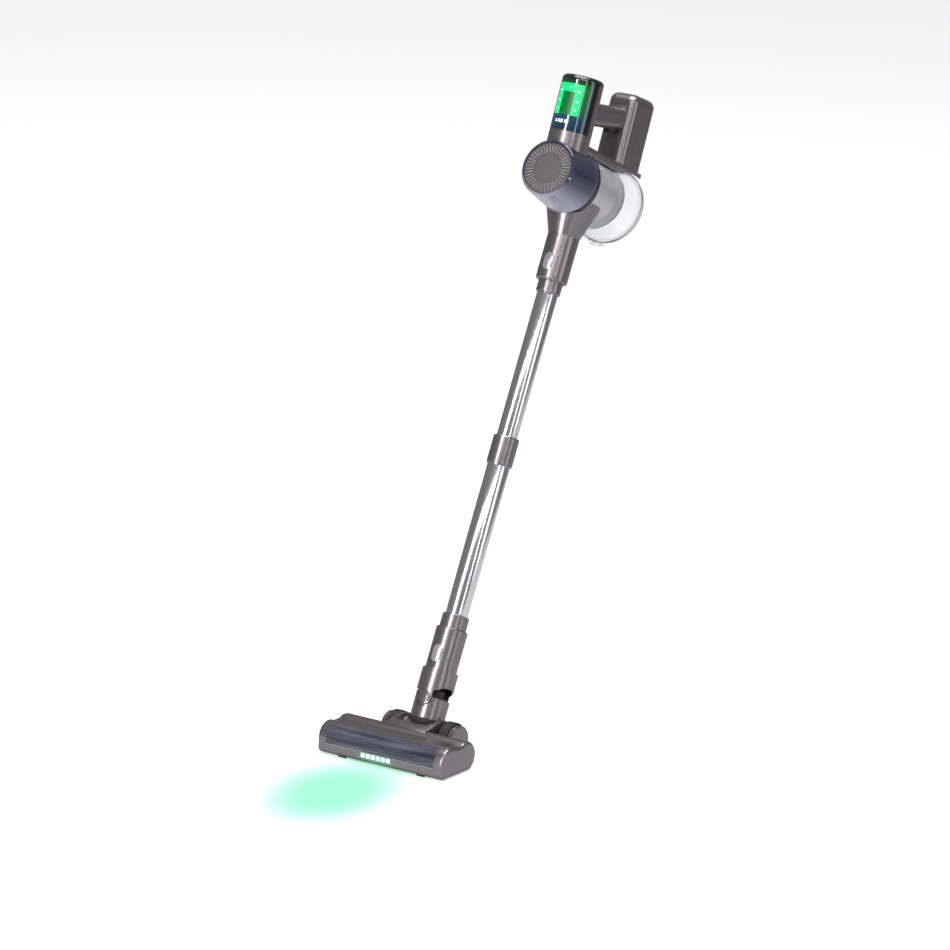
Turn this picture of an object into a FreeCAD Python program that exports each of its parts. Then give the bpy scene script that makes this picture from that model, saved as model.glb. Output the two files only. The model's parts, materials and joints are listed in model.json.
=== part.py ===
import FreeCAD, Part
import math
import os

import Sketcher

# Cordless stick vacuum: a floor head with a driven brush roller, a pitching and swivelling
# neck, a telescopic wand, and a main unit with its dust cup, display tower, handle and battery.
#
# Part frame: +Z up, the front looks along -Y, +X is the right-hand side seen from the front.
# The origin lies on the floor, in the middle of the felt strip under the head's sole.
# The head is drawn from the floor point straight below the neck's pitch axis.
# Everything above that axis is drawn upright in the wand's own frame, whose origin is the
# middle of the pitch axis and whose +Z runs up the wand, and is then leaned back as a whole.

V = FreeCAD.Vector

DIMENSIONS = {
    # How it stands, in degrees and millimetres
    "wand_lean": 25.6,
    "pivot_height": 30.0,
    "cup_pitch": 2.2,
    "tower_pitch": 3.3,
    # Clearances
    "gap": 0.4,
    "shaft_gap": 0.05,
    "wall": 2.2,
    # Floor head
    "head_width": 224.0,
    "end_cap_width": 16.0,
    "front_lobe_radius": 23.5,
    "front_lobe_set": 90.5,
    "rear_lobe_radius": 23.3,
    "rear_lobe_set": 49.0,
    "bridge_height": 43.5,
    "toe_radius": 8.0,
    "sole_height": 2.0,
    "lip_height": 17.8,
    "lip_front": 114.0,
    "trim_height": 1.8,
    "window_top_angle": 70.0,
    "roller_core_radius": 14.0,
    "roller_pile_radius": 20.2,
    "roller_height": 21.2,
    "roller_axle_radius": 3.0,
    "led_size": 6.0,
    "led_height": 13.7,
    "led_pitch": 9.0,
    "led_row_shift": -7.0,
    "shoulder_half_width": 37.0,
    "shoulder_front_height": 47.5,
    "shoulder_rear_height": 53.0,
    "wheel_radius": 25.9,
    "wheel_set": 1.5,
    "wheel_inner_face": 40.0,
    "tyre_width": 15.0,
    "hubcap_face": 65.0,
    "hubcap_radius": 22.3,
    "wheel_axle_radius": 3.0,
    "duct_radius": 12.2,
    "duct_wall": 1.6,
    "pitch_pin_radius": 5.0,
    # Neck
    "neck_radius": 26.4,
    "neck_wall": 2.4,
    "neck_foot": 17.0,
    "neck_top": 49.0,
    "neck_barrel_radius": 19.0,
    "swivel_height": 47.5,
    "swivel_cap_radius": 9.3,
    "tongue_radius": 12.0,
    "socket_radius": 27.7,
    "socket_foot": 58.0,
    "socket_top": 92.0,
    "hose_radius": 15.5,
    # Wand
    "connector_radius": 24.2,
    "connector_top": 156.0,
    "lower_button_height": 114.5,
    "button_width": 15.0,
    "button_length": 26.0,
    "lower_collar_radius": 20.6,
    "lower_collar_top": 177.0,
    "outer_tube_radius": 17.5,
    "outer_tube_wall": 1.1,
    "telescope_collar_foot": 409.0,
    "telescope_collar_top": 453.0,
    "telescope_collar_radius": 19.8,
    "latch_height": 432.0,
    "latch_length": 26.0,
    "latch_width": 14.0,
    "inner_tube_radius": 16.0,
    "inner_tube_wall": 1.1,
    "inner_tube_foot": 352.0,
    "cuff_foot": 676.0,
    "cuff_radius": 18.6,
    # Main unit: inlet neck and cup
    "inlet_foot": 694.0,
    "inlet_radius": 24.2,
    "inlet_flare_foot": 765.0,
    "inlet_flare_radius": 43.0,
    "inlet_flare_top": 818.0,
    "upper_button_height": 721.5,
    "cup_height": 842.5,
    "disc_face": 95.0,
    "disc_radius": 39.6,
    "disc_thickness": 4.0,
    "rib_count": 40.0,
    "front_shell_radius": 44.0,
    "front_shell_rear_radius": 50.0,
    "front_shell_rear": 31.0,
    "cup_wall": 2.4,
    "bowl_neck_radius": 47.5,
    "bowl_front": 18.0,
    "flange_set": 60.0,
    "bowl_rear": 104.0,
    "bowl_rear_radius": 57.5,
    "mesh_radius": 40.0,
    # Main unit: platform, tower, handle and battery
    "platform_half_width": 25.5,
    "platform_foot": 885.0,
    "platform_top": 898.5,
    "platform_front": 46.0,
    "platform_rear": 122.0,
    "upper_base": 890.0,
    "tower_radius": 31.5,
    "tower_set": 59.0,
    "tower_top": 108.0,
    "lens_foot": 22.5,
    "lens_half_angle": 85.0,
    "lens_thickness": 2.4,
    "bar_foot": 43.0,
    "bar_height": 34.0,
    "bar_half_width": 15.0,
    "bar_rise": 7.5,
    "block_front": 57.0,
    "block_split": 80.0,
    "block_rear": 121.0,
    "block_top": 112.0,
    "block_corner": 14.0,
    "cell_radius": 9.1,
    "cell_length": 65.0,
    "socket_bore_radius": 2.75,
    "socket_depth": 9.0,
    "screw_radius": 1.5,
    "screw_head_radius": 2.8,
}


class Size:
    """A length or angle together with the sheet expression that gives it."""

    def __init__(self, value, text):
        self.value = float(value)
        self.text = text

    def __add__(self, other):
        return joined(self, "+", other, self.value + number(other))

    def __sub__(self, other):
        return joined(self, "-", other, self.value - number(other))

    def __mul__(self, other):
        return joined(self, "*", other, self.value * number(other))

    def __truediv__(self, other):
        return joined(self, "/", other, self.value / number(other))

    def __radd__(self, other):
        return joined(other, "+", self, number(other) + self.value)

    def __rsub__(self, other):
        return joined(other, "-", self, number(other) - self.value)

    def __rmul__(self, other):
        return joined(other, "*", self, number(other) * self.value)

    def __neg__(self):
        return Size(-self.value, "(0 - " + self.text + ")")


def number(item):
    """The plain value of a Size or a number."""
    return item.value if isinstance(item, Size) else float(item)


def words(item):
    """The expression of a Size or a number."""
    return item.text if isinstance(item, Size) else "(" + repr(float(item)) + ")"


def joined(left, sign, right, value):
    """Two sizes joined by a sign, as one bracketed expression."""
    return Size(value, "(" + words(left) + " " + sign + " " + words(right) + ")")


def sine(angle):
    """The sine of an angle in degrees."""
    return Size(math.sin(math.radians(number(angle))), "sin(" + words(angle) + ")")


def cosine(angle):
    """The cosine of an angle in degrees."""
    return Size(math.cos(math.radians(number(angle))), "cos(" + words(angle) + ")")


class Dimensions:
    """The driving sheet: each attribute is the Size of that name."""

    def __init__(self, doc, values):
        self.sheet = doc.addObject("Spreadsheet::Sheet", "Sizes")
        self.values = values
        for row, (name, value) in enumerate(values.items(), start=1):
            self.sheet.set(f"A{row}", name)
            self.sheet.set(f"B{row}", str(value))
            self.sheet.setAlias(f"B{row}", name)

    def __getattr__(self, name):
        return Size(self.values[name], "Sizes." + name)


doc = FreeCAD.newDocument("StickVacuum")
D = Dimensions(doc, DIMENSIONS)
doc.recompute()

NODES = []
TURN = {"x": FreeCAD.Rotation(V(0, 1, 0), 90), "y": FreeCAD.Rotation(V(-1, 0, 0), 90),
        "z": FreeCAD.Rotation()}


# ---------------------------------------------------------------- drawing helpers

def bind(obj, prop, size):
    """Tie one property of an object to the sheet."""
    if isinstance(size, Size):
        obj.setExpression(prop, size.text)
    else:
        setattr(obj, prop, size)


def move(obj, where, turn=None):
    """Place an object at a point made of sizes, with a fixed turn."""
    obj.Placement = FreeCAD.Placement(V(*[number(w) for w in where]), turn or FreeCAD.Rotation())
    for letter, size in zip("xyz", where):
        if isinstance(size, Size):
            obj.setExpression("Placement.Base." + letter, size.text)
    return obj


def box(low, high):
    """A box between two corner points."""
    obj = doc.addObject("Part::Box", "Box")
    for prop, start, end in zip(("Length", "Width", "Height"), low, high):
        bind(obj, prop, end - start)
    return move(obj, low)


def rod(start, length, radius, axis="z"):
    """A cylinder from a point along an axis."""
    obj = doc.addObject("Part::Cylinder", "Rod")
    bind(obj, "Radius", radius)
    bind(obj, "Height", length)
    return move(obj, start, TURN[axis])


def cone(start, length, foot_radius, top_radius, axis="z"):
    """A cone frustum from a point along an axis."""
    obj = doc.addObject("Part::Cone", "Cone")
    bind(obj, "Radius1", foot_radius)
    bind(obj, "Radius2", top_radius)
    bind(obj, "Height", length)
    return move(obj, start, TURN[axis])


def fuse(*shapes):
    """The union of several objects."""
    obj = doc.addObject("Part::MultiFuse", "Fuse")
    obj.Shapes = list(shapes)
    obj.Refine = True
    return obj


def group(*shapes):
    """Separate solids kept together as one object."""
    obj = doc.addObject("Part::Compound", "Group")
    obj.Links = list(shapes)
    return obj


def cut(base, *tools):
    """An object with others taken out of it."""
    obj = doc.addObject("Part::Cut", "Cut")
    obj.Base = base
    obj.Tool = tools[0] if len(tools) == 1 else fuse(*tools)
    obj.Refine = True
    return obj


def common(first, second):
    """What two objects share."""
    obj = doc.addObject("Part::Common", "Common")
    obj.Base = first
    obj.Tool = second
    obj.Refine = True
    return obj


def rounded(base, radius, pick):
    """An object with the edges that pick() chooses rounded to a radius."""
    doc.recompute()
    chosen = [index for index, edge in enumerate(base.Shape.Edges, start=1) if pick(edge)]
    obj = doc.addObject("Part::Fillet", "Rounded")
    obj.Base = base
    obj.Edges = [(index, number(radius), number(radius)) for index in chosen]
    return obj


def tilted(obj, angle, where=(0, 0, 0)):
    """Turn an object about X by an angle in degrees, at a point."""
    return move(group(obj), where, FreeCAD.Rotation(V(1, 0, 0), number(angle)))


def runs_along(edge, direction):
    """Whether a straight edge runs along a direction."""
    if edge.Curve.TypeId != "Part::GeomLine":
        return False
    return abs(edge.tangentAt(edge.FirstParameter).dot(direction)) > 0.999


def origin_plane(body, role):
    """One of a body's own origin planes."""
    return [feature for feature in body.Origin.OriginFeatures if feature.Role == role][0]


def outline(body, role, points, shift=0.0):
    """A closed sketch of straight lines on a body's plane, each corner tied to the sheet."""
    sketch = body.newObject("Sketcher::SketchObject", "Outline")
    sketch.AttachmentSupport = [(origin_plane(body, role), "")]
    sketch.MapMode = "FlatFace"
    if isinstance(shift, Size) or shift:
        sketch.AttachmentOffset = FreeCAD.Placement(V(0, 0, number(shift)), FreeCAD.Rotation())
        if isinstance(shift, Size):
            sketch.setExpression("AttachmentOffset.Base.z", shift.text)
    corners = [V(number(across), number(along), 0) for across, along in points]
    for index, corner in enumerate(corners):
        following = corners[(index + 1) % len(corners)]
        sketch.addGeometry(Part.LineSegment(corner, following), False)
    for index, (across, along) in enumerate(points):
        following = (index + 1) % len(points)
        sketch.addConstraint(Sketcher.Constraint("Coincident", index, 2, following, 1))
        for kind, size, axis in (("DistanceX", across, -2), ("DistanceY", along, -1)):
            if not isinstance(size, Size) and size == 0:
                sketch.addConstraint(Sketcher.Constraint("PointOnObject", index, 1, axis))
                continue
            rule = Sketcher.Constraint(kind, -1, 1, index, 1, number(size))
            number_of_rule = sketch.addConstraint(rule)
            name = f"corner{index}{kind[-1]}"
            sketch.renameConstraint(number_of_rule, name)
            if isinstance(size, Size):
                sketch.setExpression("Constraints." + name, size.text)
    return sketch


def turned(points, axis="z"):
    """A body of revolution about Z, Y or X from (radius, place along the axis) points."""
    body = doc.addObject("PartDesign::Body", "Turned")
    if axis == "x":
        sketch = outline(body, "XY_Plane", [(along, radius) for radius, along in points])
    else:
        sketch = outline(body, "XZ_Plane" if axis == "z" else "XY_Plane", points)
    spin = body.newObject("PartDesign::Revolution", "Revolution")
    spin.Profile = sketch
    spin.ReferenceAxis = (sketch, ["H_Axis" if axis == "x" else "V_Axis"])
    spin.Angle = 360
    body.Tip = spin
    return body


def ring(outer, inner, start, end, axis="z"):
    """A turned sleeve."""
    return turned([(inner, start), (outer, start), (outer, end), (inner, end)], axis)


def padded(points, role, start, depth):
    """A body padded from an outline on a plane, starting at an offset from that plane."""
    body = doc.addObject("PartDesign::Body", "Padded")
    sketch = outline(body, role, points, start)
    pad = body.newObject("PartDesign::Pad", "Pad")
    pad.Profile = sketch
    bind(pad, "Length", depth)
    body.Tip = pad
    return body


# ---------------------------------------------------------------- frames and nodes

def keep(label, obj, frame="head"):
    """Name a finished sub-part and put it in its frame."""
    whole = obj if frame == "head" and obj.TypeId == "PartDesign::Body" else group(obj)
    if frame == "head":
        move(whole, (0.0, PIVOT_SET, 0.0))
    else:
        height, lean = FRAMES[frame]
        place_leaning(whole, height, lean)
    whole.Label = label
    NODES.append(whole)
    return whole


def place_leaning(obj, height, lean):
    """Stand an object on the wand's axis at a height and lean it back."""
    where = (0.0, PIVOT_SET + height * sine(D.wand_lean), D.pivot_height + height * cosine(D.wand_lean))
    move(obj, where, FreeCAD.Rotation(V(-1, 0, 0), number(lean)))
    obj.setExpression("Placement.Rotation.Angle", lean.text)


CHAMBER = D.roller_pile_radius + 1.0
STRIP_DEPTH = 5.0
STRIP_FRONT = CHAMBER - D.front_lobe_set + 1.0
PIVOT_SET = -(STRIP_FRONT + STRIP_DEPTH / 2)
FRAMES = {
    "wand": (Size(0.0, "0"), D.wand_lean + 0.0),
    "cup": (D.cup_height, D.wand_lean + D.cup_pitch),
    "upper": (D.upper_base, D.wand_lean - D.tower_pitch),
}


# ---------------------------------------------------------------- floor head

CAP_FACE = D.head_width / 2
BODY_END = CAP_FACE - D.end_cap_width
LOBE_Y = -D.front_lobe_set
REAR_Y = -D.rear_lobe_set
LIP_TOP = D.lip_height + 0.0
WINDOW_FOOT = LIP_TOP + D.trim_height
WINDOW_EDGE = LOBE_Y - D.front_lobe_radius * cosine(D.window_top_angle)
SOLE_TOP = D.sole_height + 3.0
SLOT_HALF = D.neck_radius + 2.1 + D.gap * 2
DUCT_START = CHAMBER - D.front_lobe_set + 5.3


def head_section(start, end, inset=0.0):
    """The head's side profile, two lobes with a flat between, drawn out along X."""
    width = end - start
    front = rod((start, LOBE_Y, D.front_lobe_radius), width, D.front_lobe_radius - inset, "x")
    rear = rod((start, REAR_Y, D.rear_lobe_radius), width, D.rear_lobe_radius - inset, "x")
    low = D.sole_height + inset
    bridge = box((start, LOBE_Y, low), (end, REAR_Y, D.bridge_height - inset))
    toe_y, toe_z = D.toe_radius - D.lip_front, D.sole_height + D.toe_radius
    toe = rod((start, toe_y, toe_z), width, D.toe_radius - inset, "x")
    nose = box((start, inset - D.lip_front, toe_z), (end, LOBE_Y, D.front_lobe_radius))
    chin = box((start, toe_y, low), (end, LOBE_Y, D.front_lobe_radius))
    floor = box((start - 1, -200.0, -10.0), (end + 1, 50.0, D.sole_height))
    return cut(fuse(front, rear, bridge, toe, nose, chin), floor)


def roller_space():
    """The round space the brush roller turns in."""
    low = rod((-BODY_END, LOBE_Y, D.roller_height), BODY_END * 2, CHAMBER, "x")
    high = rod((-BODY_END, LOBE_Y, D.front_lobe_radius), BODY_END * 2, D.front_lobe_radius - D.wall, "x")
    return fuse(low, high)


def duct_rod(radius):
    """A rod along the head's air duct, from the roller space back to just ahead of the neck."""
    length = -(DUCT_START + D.neck_radius + D.gap + 0.4)
    return rod((0.0, DUCT_START, D.pivot_height), length, radius, "y")


def build_head_casing():
    region = box((-BODY_END, WINDOW_EDGE, SOLE_TOP), (BODY_END, 0.0, 80.0))
    shell = cut(common(head_section(-BODY_END, BODY_END), region),
                head_section(-BODY_END - 1, BODY_END + 1, D.wall), duct_rod(D.duct_radius))
    keep("head_shell", shell)

    pane = cut(rod((-BODY_END, LOBE_Y, D.front_lobe_radius), BODY_END * 2, D.front_lobe_radius, "x"),
               rod((-BODY_END - 1, LOBE_Y, D.front_lobe_radius), BODY_END * 2 + 2,
                   D.front_lobe_radius - D.wall, "x"))
    opening = box((-BODY_END, -150.0, WINDOW_FOOT), (BODY_END, WINDOW_EDGE, 80.0))
    keep("roller_window", common(pane, opening))

    trim = box((-BODY_END, -D.lip_front - 0.6, LIP_TOP), (BODY_END, 4.0 - D.lip_front, WINDOW_FOOT))
    keep("window_trim", cut(trim, roller_space()))

    lip = box((-BODY_END, -D.lip_front, D.sole_height), (BODY_END, 14.0 - D.lip_front, LIP_TOP))
    lip = common(lip, head_section(-BODY_END - 1, BODY_END + 1))
    keep("front_lip", cut(lip, roller_space(), group(*led_blocks(0.0)), glider_feet()))

    plate = box((-BODY_END, CHAMBER - D.front_lobe_set, D.sole_height), (BODY_END, REAR_Y + 12, SOLE_TOP))
    cradle = box((-80.0, REAR_Y - 8, D.sole_height), (-50.0, REAR_Y + 8, SOLE_TOP + 8))
    screws = [screw_at(x, y, 0.05) for x, y in HEAD_SCREWS]
    motor_space = rod((-90.0, REAR_Y, D.rear_lobe_radius), 50.0, 14.0, "x")
    keep("sole_plate", cut(fuse(plate, cradle), motor_space, *screws))
    keep("head_screws", group(*[screw_at(x, y) for x, y in HEAD_SCREWS]))

    keep("sole_strip", box((2.0 - BODY_END, STRIP_FRONT, 0.0),
                           (BODY_END - 2, STRIP_FRONT + STRIP_DEPTH, D.sole_height)))
    keep("glider_feet", cut(glider_feet(), roller_space()))
    keep("headlight_leds", group(*led_blocks(0.3)))
    keep("head_duct", cut(duct_rod(D.duct_radius), duct_bore()))


AIRWAY = D.duct_radius - D.duct_wall


def duct_bore():
    """The air passage of the head's duct."""
    return rod((0.0, DUCT_START - 1, D.pivot_height), 60.0, AIRWAY, "y")


HEAD_SCREWS = [(x, y) for x in (-88.0, 88.0) for y in (-59.0, -41.0)]


def screw_at(x, y, extra=0.0):
    """One countersunk screw of the sole, pointing up."""
    shank = rod((x, y, SOLE_TOP - 1.5), 1.5 + extra, D.screw_radius + extra)
    head = cone((x, y, D.sole_height - extra), 1.5 + extra, D.screw_head_radius + extra,
                D.screw_radius + extra)
    return fuse(shank, head)


def glider_feet():
    """Two low feet under the front lip."""
    feet = []
    for side in (-1, 1):
        middle = (BODY_END - 26) * side
        foot = rod((middle - 6, 7.0 - D.lip_front, 4.0), 12.0, 4.0, "x")
        feet.append(common(foot, box((middle - 6, -D.lip_front, 0.0), (middle + 6, 20 - D.lip_front, 6.0))))
    return group(*feet)


def led_blocks(proud):
    """The six square headlights set in the front lip."""
    blocks = []
    for index in range(6):
        middle = D.led_row_shift + D.led_pitch * (index - 2.5)
        half = D.led_size / 2
        low = (middle - half, -D.lip_front - proud, D.led_height - half)
        blocks.append(box(low, (middle + half, 2.5 - D.lip_front, D.led_height + half)))
    return blocks


def build_end_caps():
    for label, side in (("left_end_cap", -1), ("right_end_cap", 1)):
        inner, outer = BODY_END * side, CAP_FACE * side
        start, end = (inner, outer) if side > 0 else (outer, inner)
        floor = outer - D.wall * side
        hollow = (start - 1, floor) if side > 0 else (floor, end + 1)
        boss_start = floor - 3.0 if side > 0 else floor
        boss = rod((boss_start, LOBE_Y, D.roller_height), 3.0, 7.0, "x")
        bore_start = boss_start - 1 if side > 0 else floor + 0.6
        bore = rod((bore_start, LOBE_Y, D.roller_height), 3.4, D.roller_axle_radius + D.shaft_gap, "x")
        tray = cut(head_section(start, end), head_section(hollow[0], hollow[1], D.wall))
        keep(label, cut(fuse(tray, boss), bore))


def build_roller():
    end = BODY_END - 2
    core = turned([(D.roller_axle_radius, BELT_START - 1), (PULLEY, BELT_START - 1),
                   (PULLEY, BELT_END + 1), (8.0, BELT_END + 1), (8.0, -end),
                   (D.roller_core_radius, -end), (D.roller_core_radius, end),
                   (D.roller_axle_radius, end)], "x")
    keep("roller_core", at_roller(core))
    keep("roller_pile", at_roller(ring(D.roller_pile_radius, D.roller_core_radius, 1 - end, end - 1, "x")))
    reach = CAP_FACE - D.wall - 1.0
    keep("roller_axle", rod((-reach, LOBE_Y, D.roller_height), reach * 2, D.roller_axle_radius, "x"))
    motor = rod((2.0 - BODY_END, REAR_Y, D.rear_lobe_radius), 56.0, 14.0, "x")
    shaft_hole = rod((1.0 - BODY_END, REAR_Y, D.rear_lobe_radius), 6.0, 2.0 + D.shaft_gap, "x")
    keep("drive_motor", cut(motor, shaft_hole))
    shaft = rod((BELT_START, REAR_Y, D.rear_lobe_radius), 14.0, 2.0, "x")
    wheel = rod((BELT_START - 1, REAR_Y, D.rear_lobe_radius), BELT_WIDTH + 2, PINION, "x")
    keep("motor_pulley", fuse(shaft, wheel))
    belt = doc.addObject("Part::Feature", "Belt")
    belt.Shape = belt_shape()
    keep("drive_belt", belt)


BELT_WIDTH = D.end_cap_width - 11
BELT_START = 6.6 - CAP_FACE
BELT_END = BELT_START + BELT_WIDTH
PULLEY = Size(11.0, "11")
PINION = Size(6.0, "6")


def at_roller(body):
    """Lift a part turned about X to the roller's axis."""
    return move(group(body), (0.0, LOBE_Y, D.roller_height))


def belt_loop(extra):
    """The face inside a belt that runs at a distance outside both pulleys."""
    big, small = number(PULLEY) + extra, number(PINION) + extra
    start = V(number(BELT_START), number(LOBE_Y), number(D.roller_height))
    end = V(number(BELT_START), number(REAR_Y), number(D.rear_lobe_radius))
    along = end - start
    lean = math.atan2(along.z, along.y)
    spread = math.acos((big - small) / along.Length)

    def point(centre, radius, angle):
        return centre + V(0, radius * math.cos(angle), radius * math.sin(angle))

    upper, lower = lean + spread, lean - spread
    edges = [
        Part.LineSegment(point(start, big, upper), point(end, small, upper)),
        Part.Arc(point(end, small, upper), point(end, small, lean), point(end, small, lower)),
        Part.LineSegment(point(end, small, lower), point(start, big, lower)),
        Part.Arc(point(start, big, lower), point(start, big, lean + math.pi), point(start, big, upper)),
    ]
    return Part.Face(Part.Wire([edge.toShape() for edge in edges]))


def belt_shape():
    """A flat belt round both pulleys."""
    width = V(number(BELT_WIDTH), 0, 0)
    slack = number(D.gap)
    return belt_loop(slack + 1.2).extrude(width).cut(belt_loop(slack).extrude(width))


def build_shoulder():
    front, rear, foot = D.shoulder_front_height, D.shoulder_rear_height, D.pivot_height - 18
    profile = [(-54.0, front - 7.5), (-52.0, front), (-8.0, rear), (5.0, rear - 2), (13.0, rear - 11),
               (13.0, foot + 8), (8.0, foot), (-25.0, foot)]
    wedge = padded(profile, "YZ_Plane", -D.shoulder_half_width, D.shoulder_half_width * 2)
    slot = box((-SLOT_HALF, -31.0, -1.0), (SLOT_HALF, 30.0, rear + 10))
    pins = [pivot_axle(side) for side in (-1, 1)]
    keep("shoulder_cover", cut(wedge, slot, head_section(-BODY_END, BODY_END),
                               duct_rod(D.duct_radius), *pins))
    keep("pivot_axles", group(*[pivot_axle(side) for side in (-1, 1)]))


def pivot_axle(side):
    """One stepped pin: the neck pitches on its thick end and a wheel turns on its thin end."""
    thick = (SLOT_HALF - 8.0, D.shoulder_half_width + 1)
    thin = (D.shoulder_half_width - 4, D.hubcap_face - 3)
    parts = []
    for (start, end), radius, y, z in ((thick, D.pitch_pin_radius, 0.0, D.pivot_height),
                                       (thin, D.wheel_axle_radius, D.wheel_set, D.wheel_radius)):
        low = start if side > 0 else -end
        parts.append(rod((low, y, z), end - start, radius, "x"))
    return fuse(*parts)


def build_wheels():
    for word, side in (("left", -1), ("right", 1)):
        inner, face = D.wheel_inner_face * side, D.hubcap_face * side
        tread_end = (D.wheel_inner_face + D.tyre_width) * side
        bore = D.wheel_axle_radius + D.shaft_gap
        hub = turned([(bore, inner), (D.hubcap_radius, inner), (D.hubcap_radius, face - 1.5 * side),
                      (D.hubcap_radius - 1.5, face), (0, face), (0, face - 2.0 * side),
                      (bore, face - 2.0 * side)], "x")
        tread = D.wheel_radius
        tyre = turned([(D.hubcap_radius, inner), (tread - 1.0, inner), (tread, inner + 1.0 * side),
                       (tread, tread_end - 1.0 * side), (tread - 1.0, tread_end),
                       (D.hubcap_radius, tread_end)], "x")
        keep(f"wheel_{word}_hub", move(group(hub), (0.0, D.wheel_set, D.wheel_radius)))
        keep(f"wheel_{word}_tyre", move(group(tyre), (0.0, D.wheel_set, D.wheel_radius)))


# ---------------------------------------------------------------- neck

RECESS = D.tongue_radius + 1.6
FLAT = D.socket_radius - 4.8
NECK_SIDE = RECESS + 3.2


def build_lower_neck():
    barrel_end = SLOT_HALF - D.gap
    barrel = rod((-barrel_end, 0.0, 0.0), barrel_end * 2, D.neck_barrel_radius, "x")
    foot = cone((0.0, 0.0, 0.0), D.neck_foot - 4, D.neck_barrel_radius, D.neck_radius)
    tube = rod((0.0, 0.0, D.neck_foot - 4), D.neck_top - D.neck_foot + 4, D.neck_radius)
    inside = rod((0.0, 0.0, D.neck_foot), 60.0, D.neck_radius - D.neck_wall)
    raised = common(rod((0.0, 0.0, D.neck_foot), D.neck_top + 7 - D.neck_foot, D.neck_radius),
                    box((-40.0, -40.0, 0.0), (-NECK_SIDE, 40.0, 80.0)))
    solid = cut(fuse(barrel, foot, tube, raised), inside)
    lugs, recesses = [], []
    for side in (-1, 1):
        start = FLAT - D.gap - 5 if side > 0 else D.gap - FLAT
        lugs.append(rod((0.0, start, D.swivel_height), 5.0, D.tongue_radius - 1.5, "y"))
        foot_of_lug = box((1.5 - D.tongue_radius, start, D.neck_foot + 2),
                          (D.tongue_radius - 1.5, start + 5, D.swivel_height))
        lugs.append(foot_of_lug)
        outer = FLAT - D.gap if side > 0 else D.gap - FLAT - 10
        recesses.append(rod((0.0, outer, D.swivel_height), 10.0, RECESS, "y"))
        recesses.append(box((-NECK_SIDE, outer, D.swivel_height - 2), (NECK_SIDE, outer + 10, 80.0)))
    pins = [rod((start, 0.0, 0.0), 20.0, D.pitch_pin_radius + D.shaft_gap, "x")
            for start in (SLOT_HALF - 9, -SLOT_HALF - 11)]
    air_up = rod((0.0, 0.0, 0.0), D.neck_foot + 1, AIRWAY)
    air_in = tilted(rod((0.0, -40.0, 0.0), 40.0, AIRWAY, "y"), D.wand_lean)
    swivel = rod((0.0, -40.0, D.swivel_height), 80.0, 4.0 + D.shaft_gap, "y")
    whole = cut(fuse(solid, *lugs), *recesses, *pins, air_up, air_in, swivel)
    keep("lower_neck", whole, "wand")
    gasket = ring(D.neck_radius + 1.4, D.neck_radius, D.neck_foot - 4, D.neck_foot - 0.5)
    seat = rod((-40.0, 0.0, 0.0), 80.0, D.neck_barrel_radius, "x")
    keep("neck_gasket", cut(group(gasket), seat), "wand")
    keep("neck_hose", bellows(), "wand")


def bellows():
    """The corrugated air hose inside the swivel."""
    pitch = Size(4.0, "4")
    start = D.swivel_height - 24
    points = [(11.5, start)]
    for index in range(9):
        foot = start + pitch * index
        points.append((D.hose_radius - 2, foot))
        points.append((D.hose_radius, foot + 1.4))
        points.append((D.hose_radius, foot + 2.6))
    points.append((D.hose_radius - 2, start + pitch * 9))
    points.append((11.5, start + pitch * 9))
    return turned(points)


def build_upper_socket():
    sleeve = rod((0.0, 0.0, D.swivel_height - 14), D.socket_top - D.swivel_height + 14, D.socket_radius)
    inside = rod((0.0, 0.0, D.swivel_height - 20), 90.0, D.socket_radius - 2.8)
    tongues = []
    for side in (-1, 1):
        low = (-D.tongue_radius, FLAT if side > 0 else -D.socket_radius, D.swivel_height - 14)
        high = (D.tongue_radius, D.socket_radius if side > 0 else -FLAT, D.socket_foot + 4)
        tongues.append(box(low, high))
    relief_foot = D.swivel_height - 20
    relief = rod((0.0, 0.0, relief_foot), D.socket_foot + 5 - relief_foot, D.neck_radius + D.gap)
    wall = fuse(cut(sleeve, inside, relief),
                common(rod((0.0, 0.0, 20.0), 60.0, D.socket_radius), group(*tongues)))
    side_top = D.socket_foot + 12
    view = padded([(-D.tongue_radius, D.swivel_height), (D.tongue_radius, D.swivel_height),
                   (D.tongue_radius, D.socket_foot), (D.socket_radius + 1, side_top),
                   (D.socket_radius + 1, D.socket_top), (-D.socket_radius - 1, D.socket_top),
                   (-D.socket_radius - 1, D.socket_foot), (-D.tongue_radius, D.socket_foot)],
                  "XZ_Plane", -D.socket_radius - 1, D.socket_radius * 2 + 2)
    chin = rod((0.0, -D.socket_radius - 1, D.swivel_height), D.socket_radius * 2 + 2, D.tongue_radius, "y")
    keep("upper_socket", cut(common(wall, fuse(view, chin)), *swivel_pins()), "wand")
    keep("swivel_pins", group(*swivel_pins()), "wand")


def swivel_pins():
    """The two headed pins of the swivel, front and back."""
    pins = []
    for side in (-1, 1):
        tip, seat, face = FLAT - D.gap - 5, D.socket_radius - 1.4, D.socket_radius + 0.8
        shank_start = tip if side > 0 else -seat
        head_start = seat if side > 0 else -face
        shank = rod((0.0, shank_start, D.swivel_height), seat - tip, 4.0, "y")
        head = rod((0.0, head_start, D.swivel_height), face - seat, D.swivel_cap_radius, "y")
        pins.append(fuse(shank, head))
    return pins


def oval(middle, start, depth, extra=0.0):
    """An upright oval block through the front, with a half-round at each end."""
    radius = D.button_width / 2 + extra
    reach = D.button_length / 2 - D.button_width / 2
    low = (-radius, start, middle - reach)
    return fuse(box(low, (radius, start + depth, middle + reach)),
                rod((0.0, start, middle + reach), depth, radius, "y"),
                rod((0.0, start, middle - reach), depth, radius, "y"))


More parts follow.
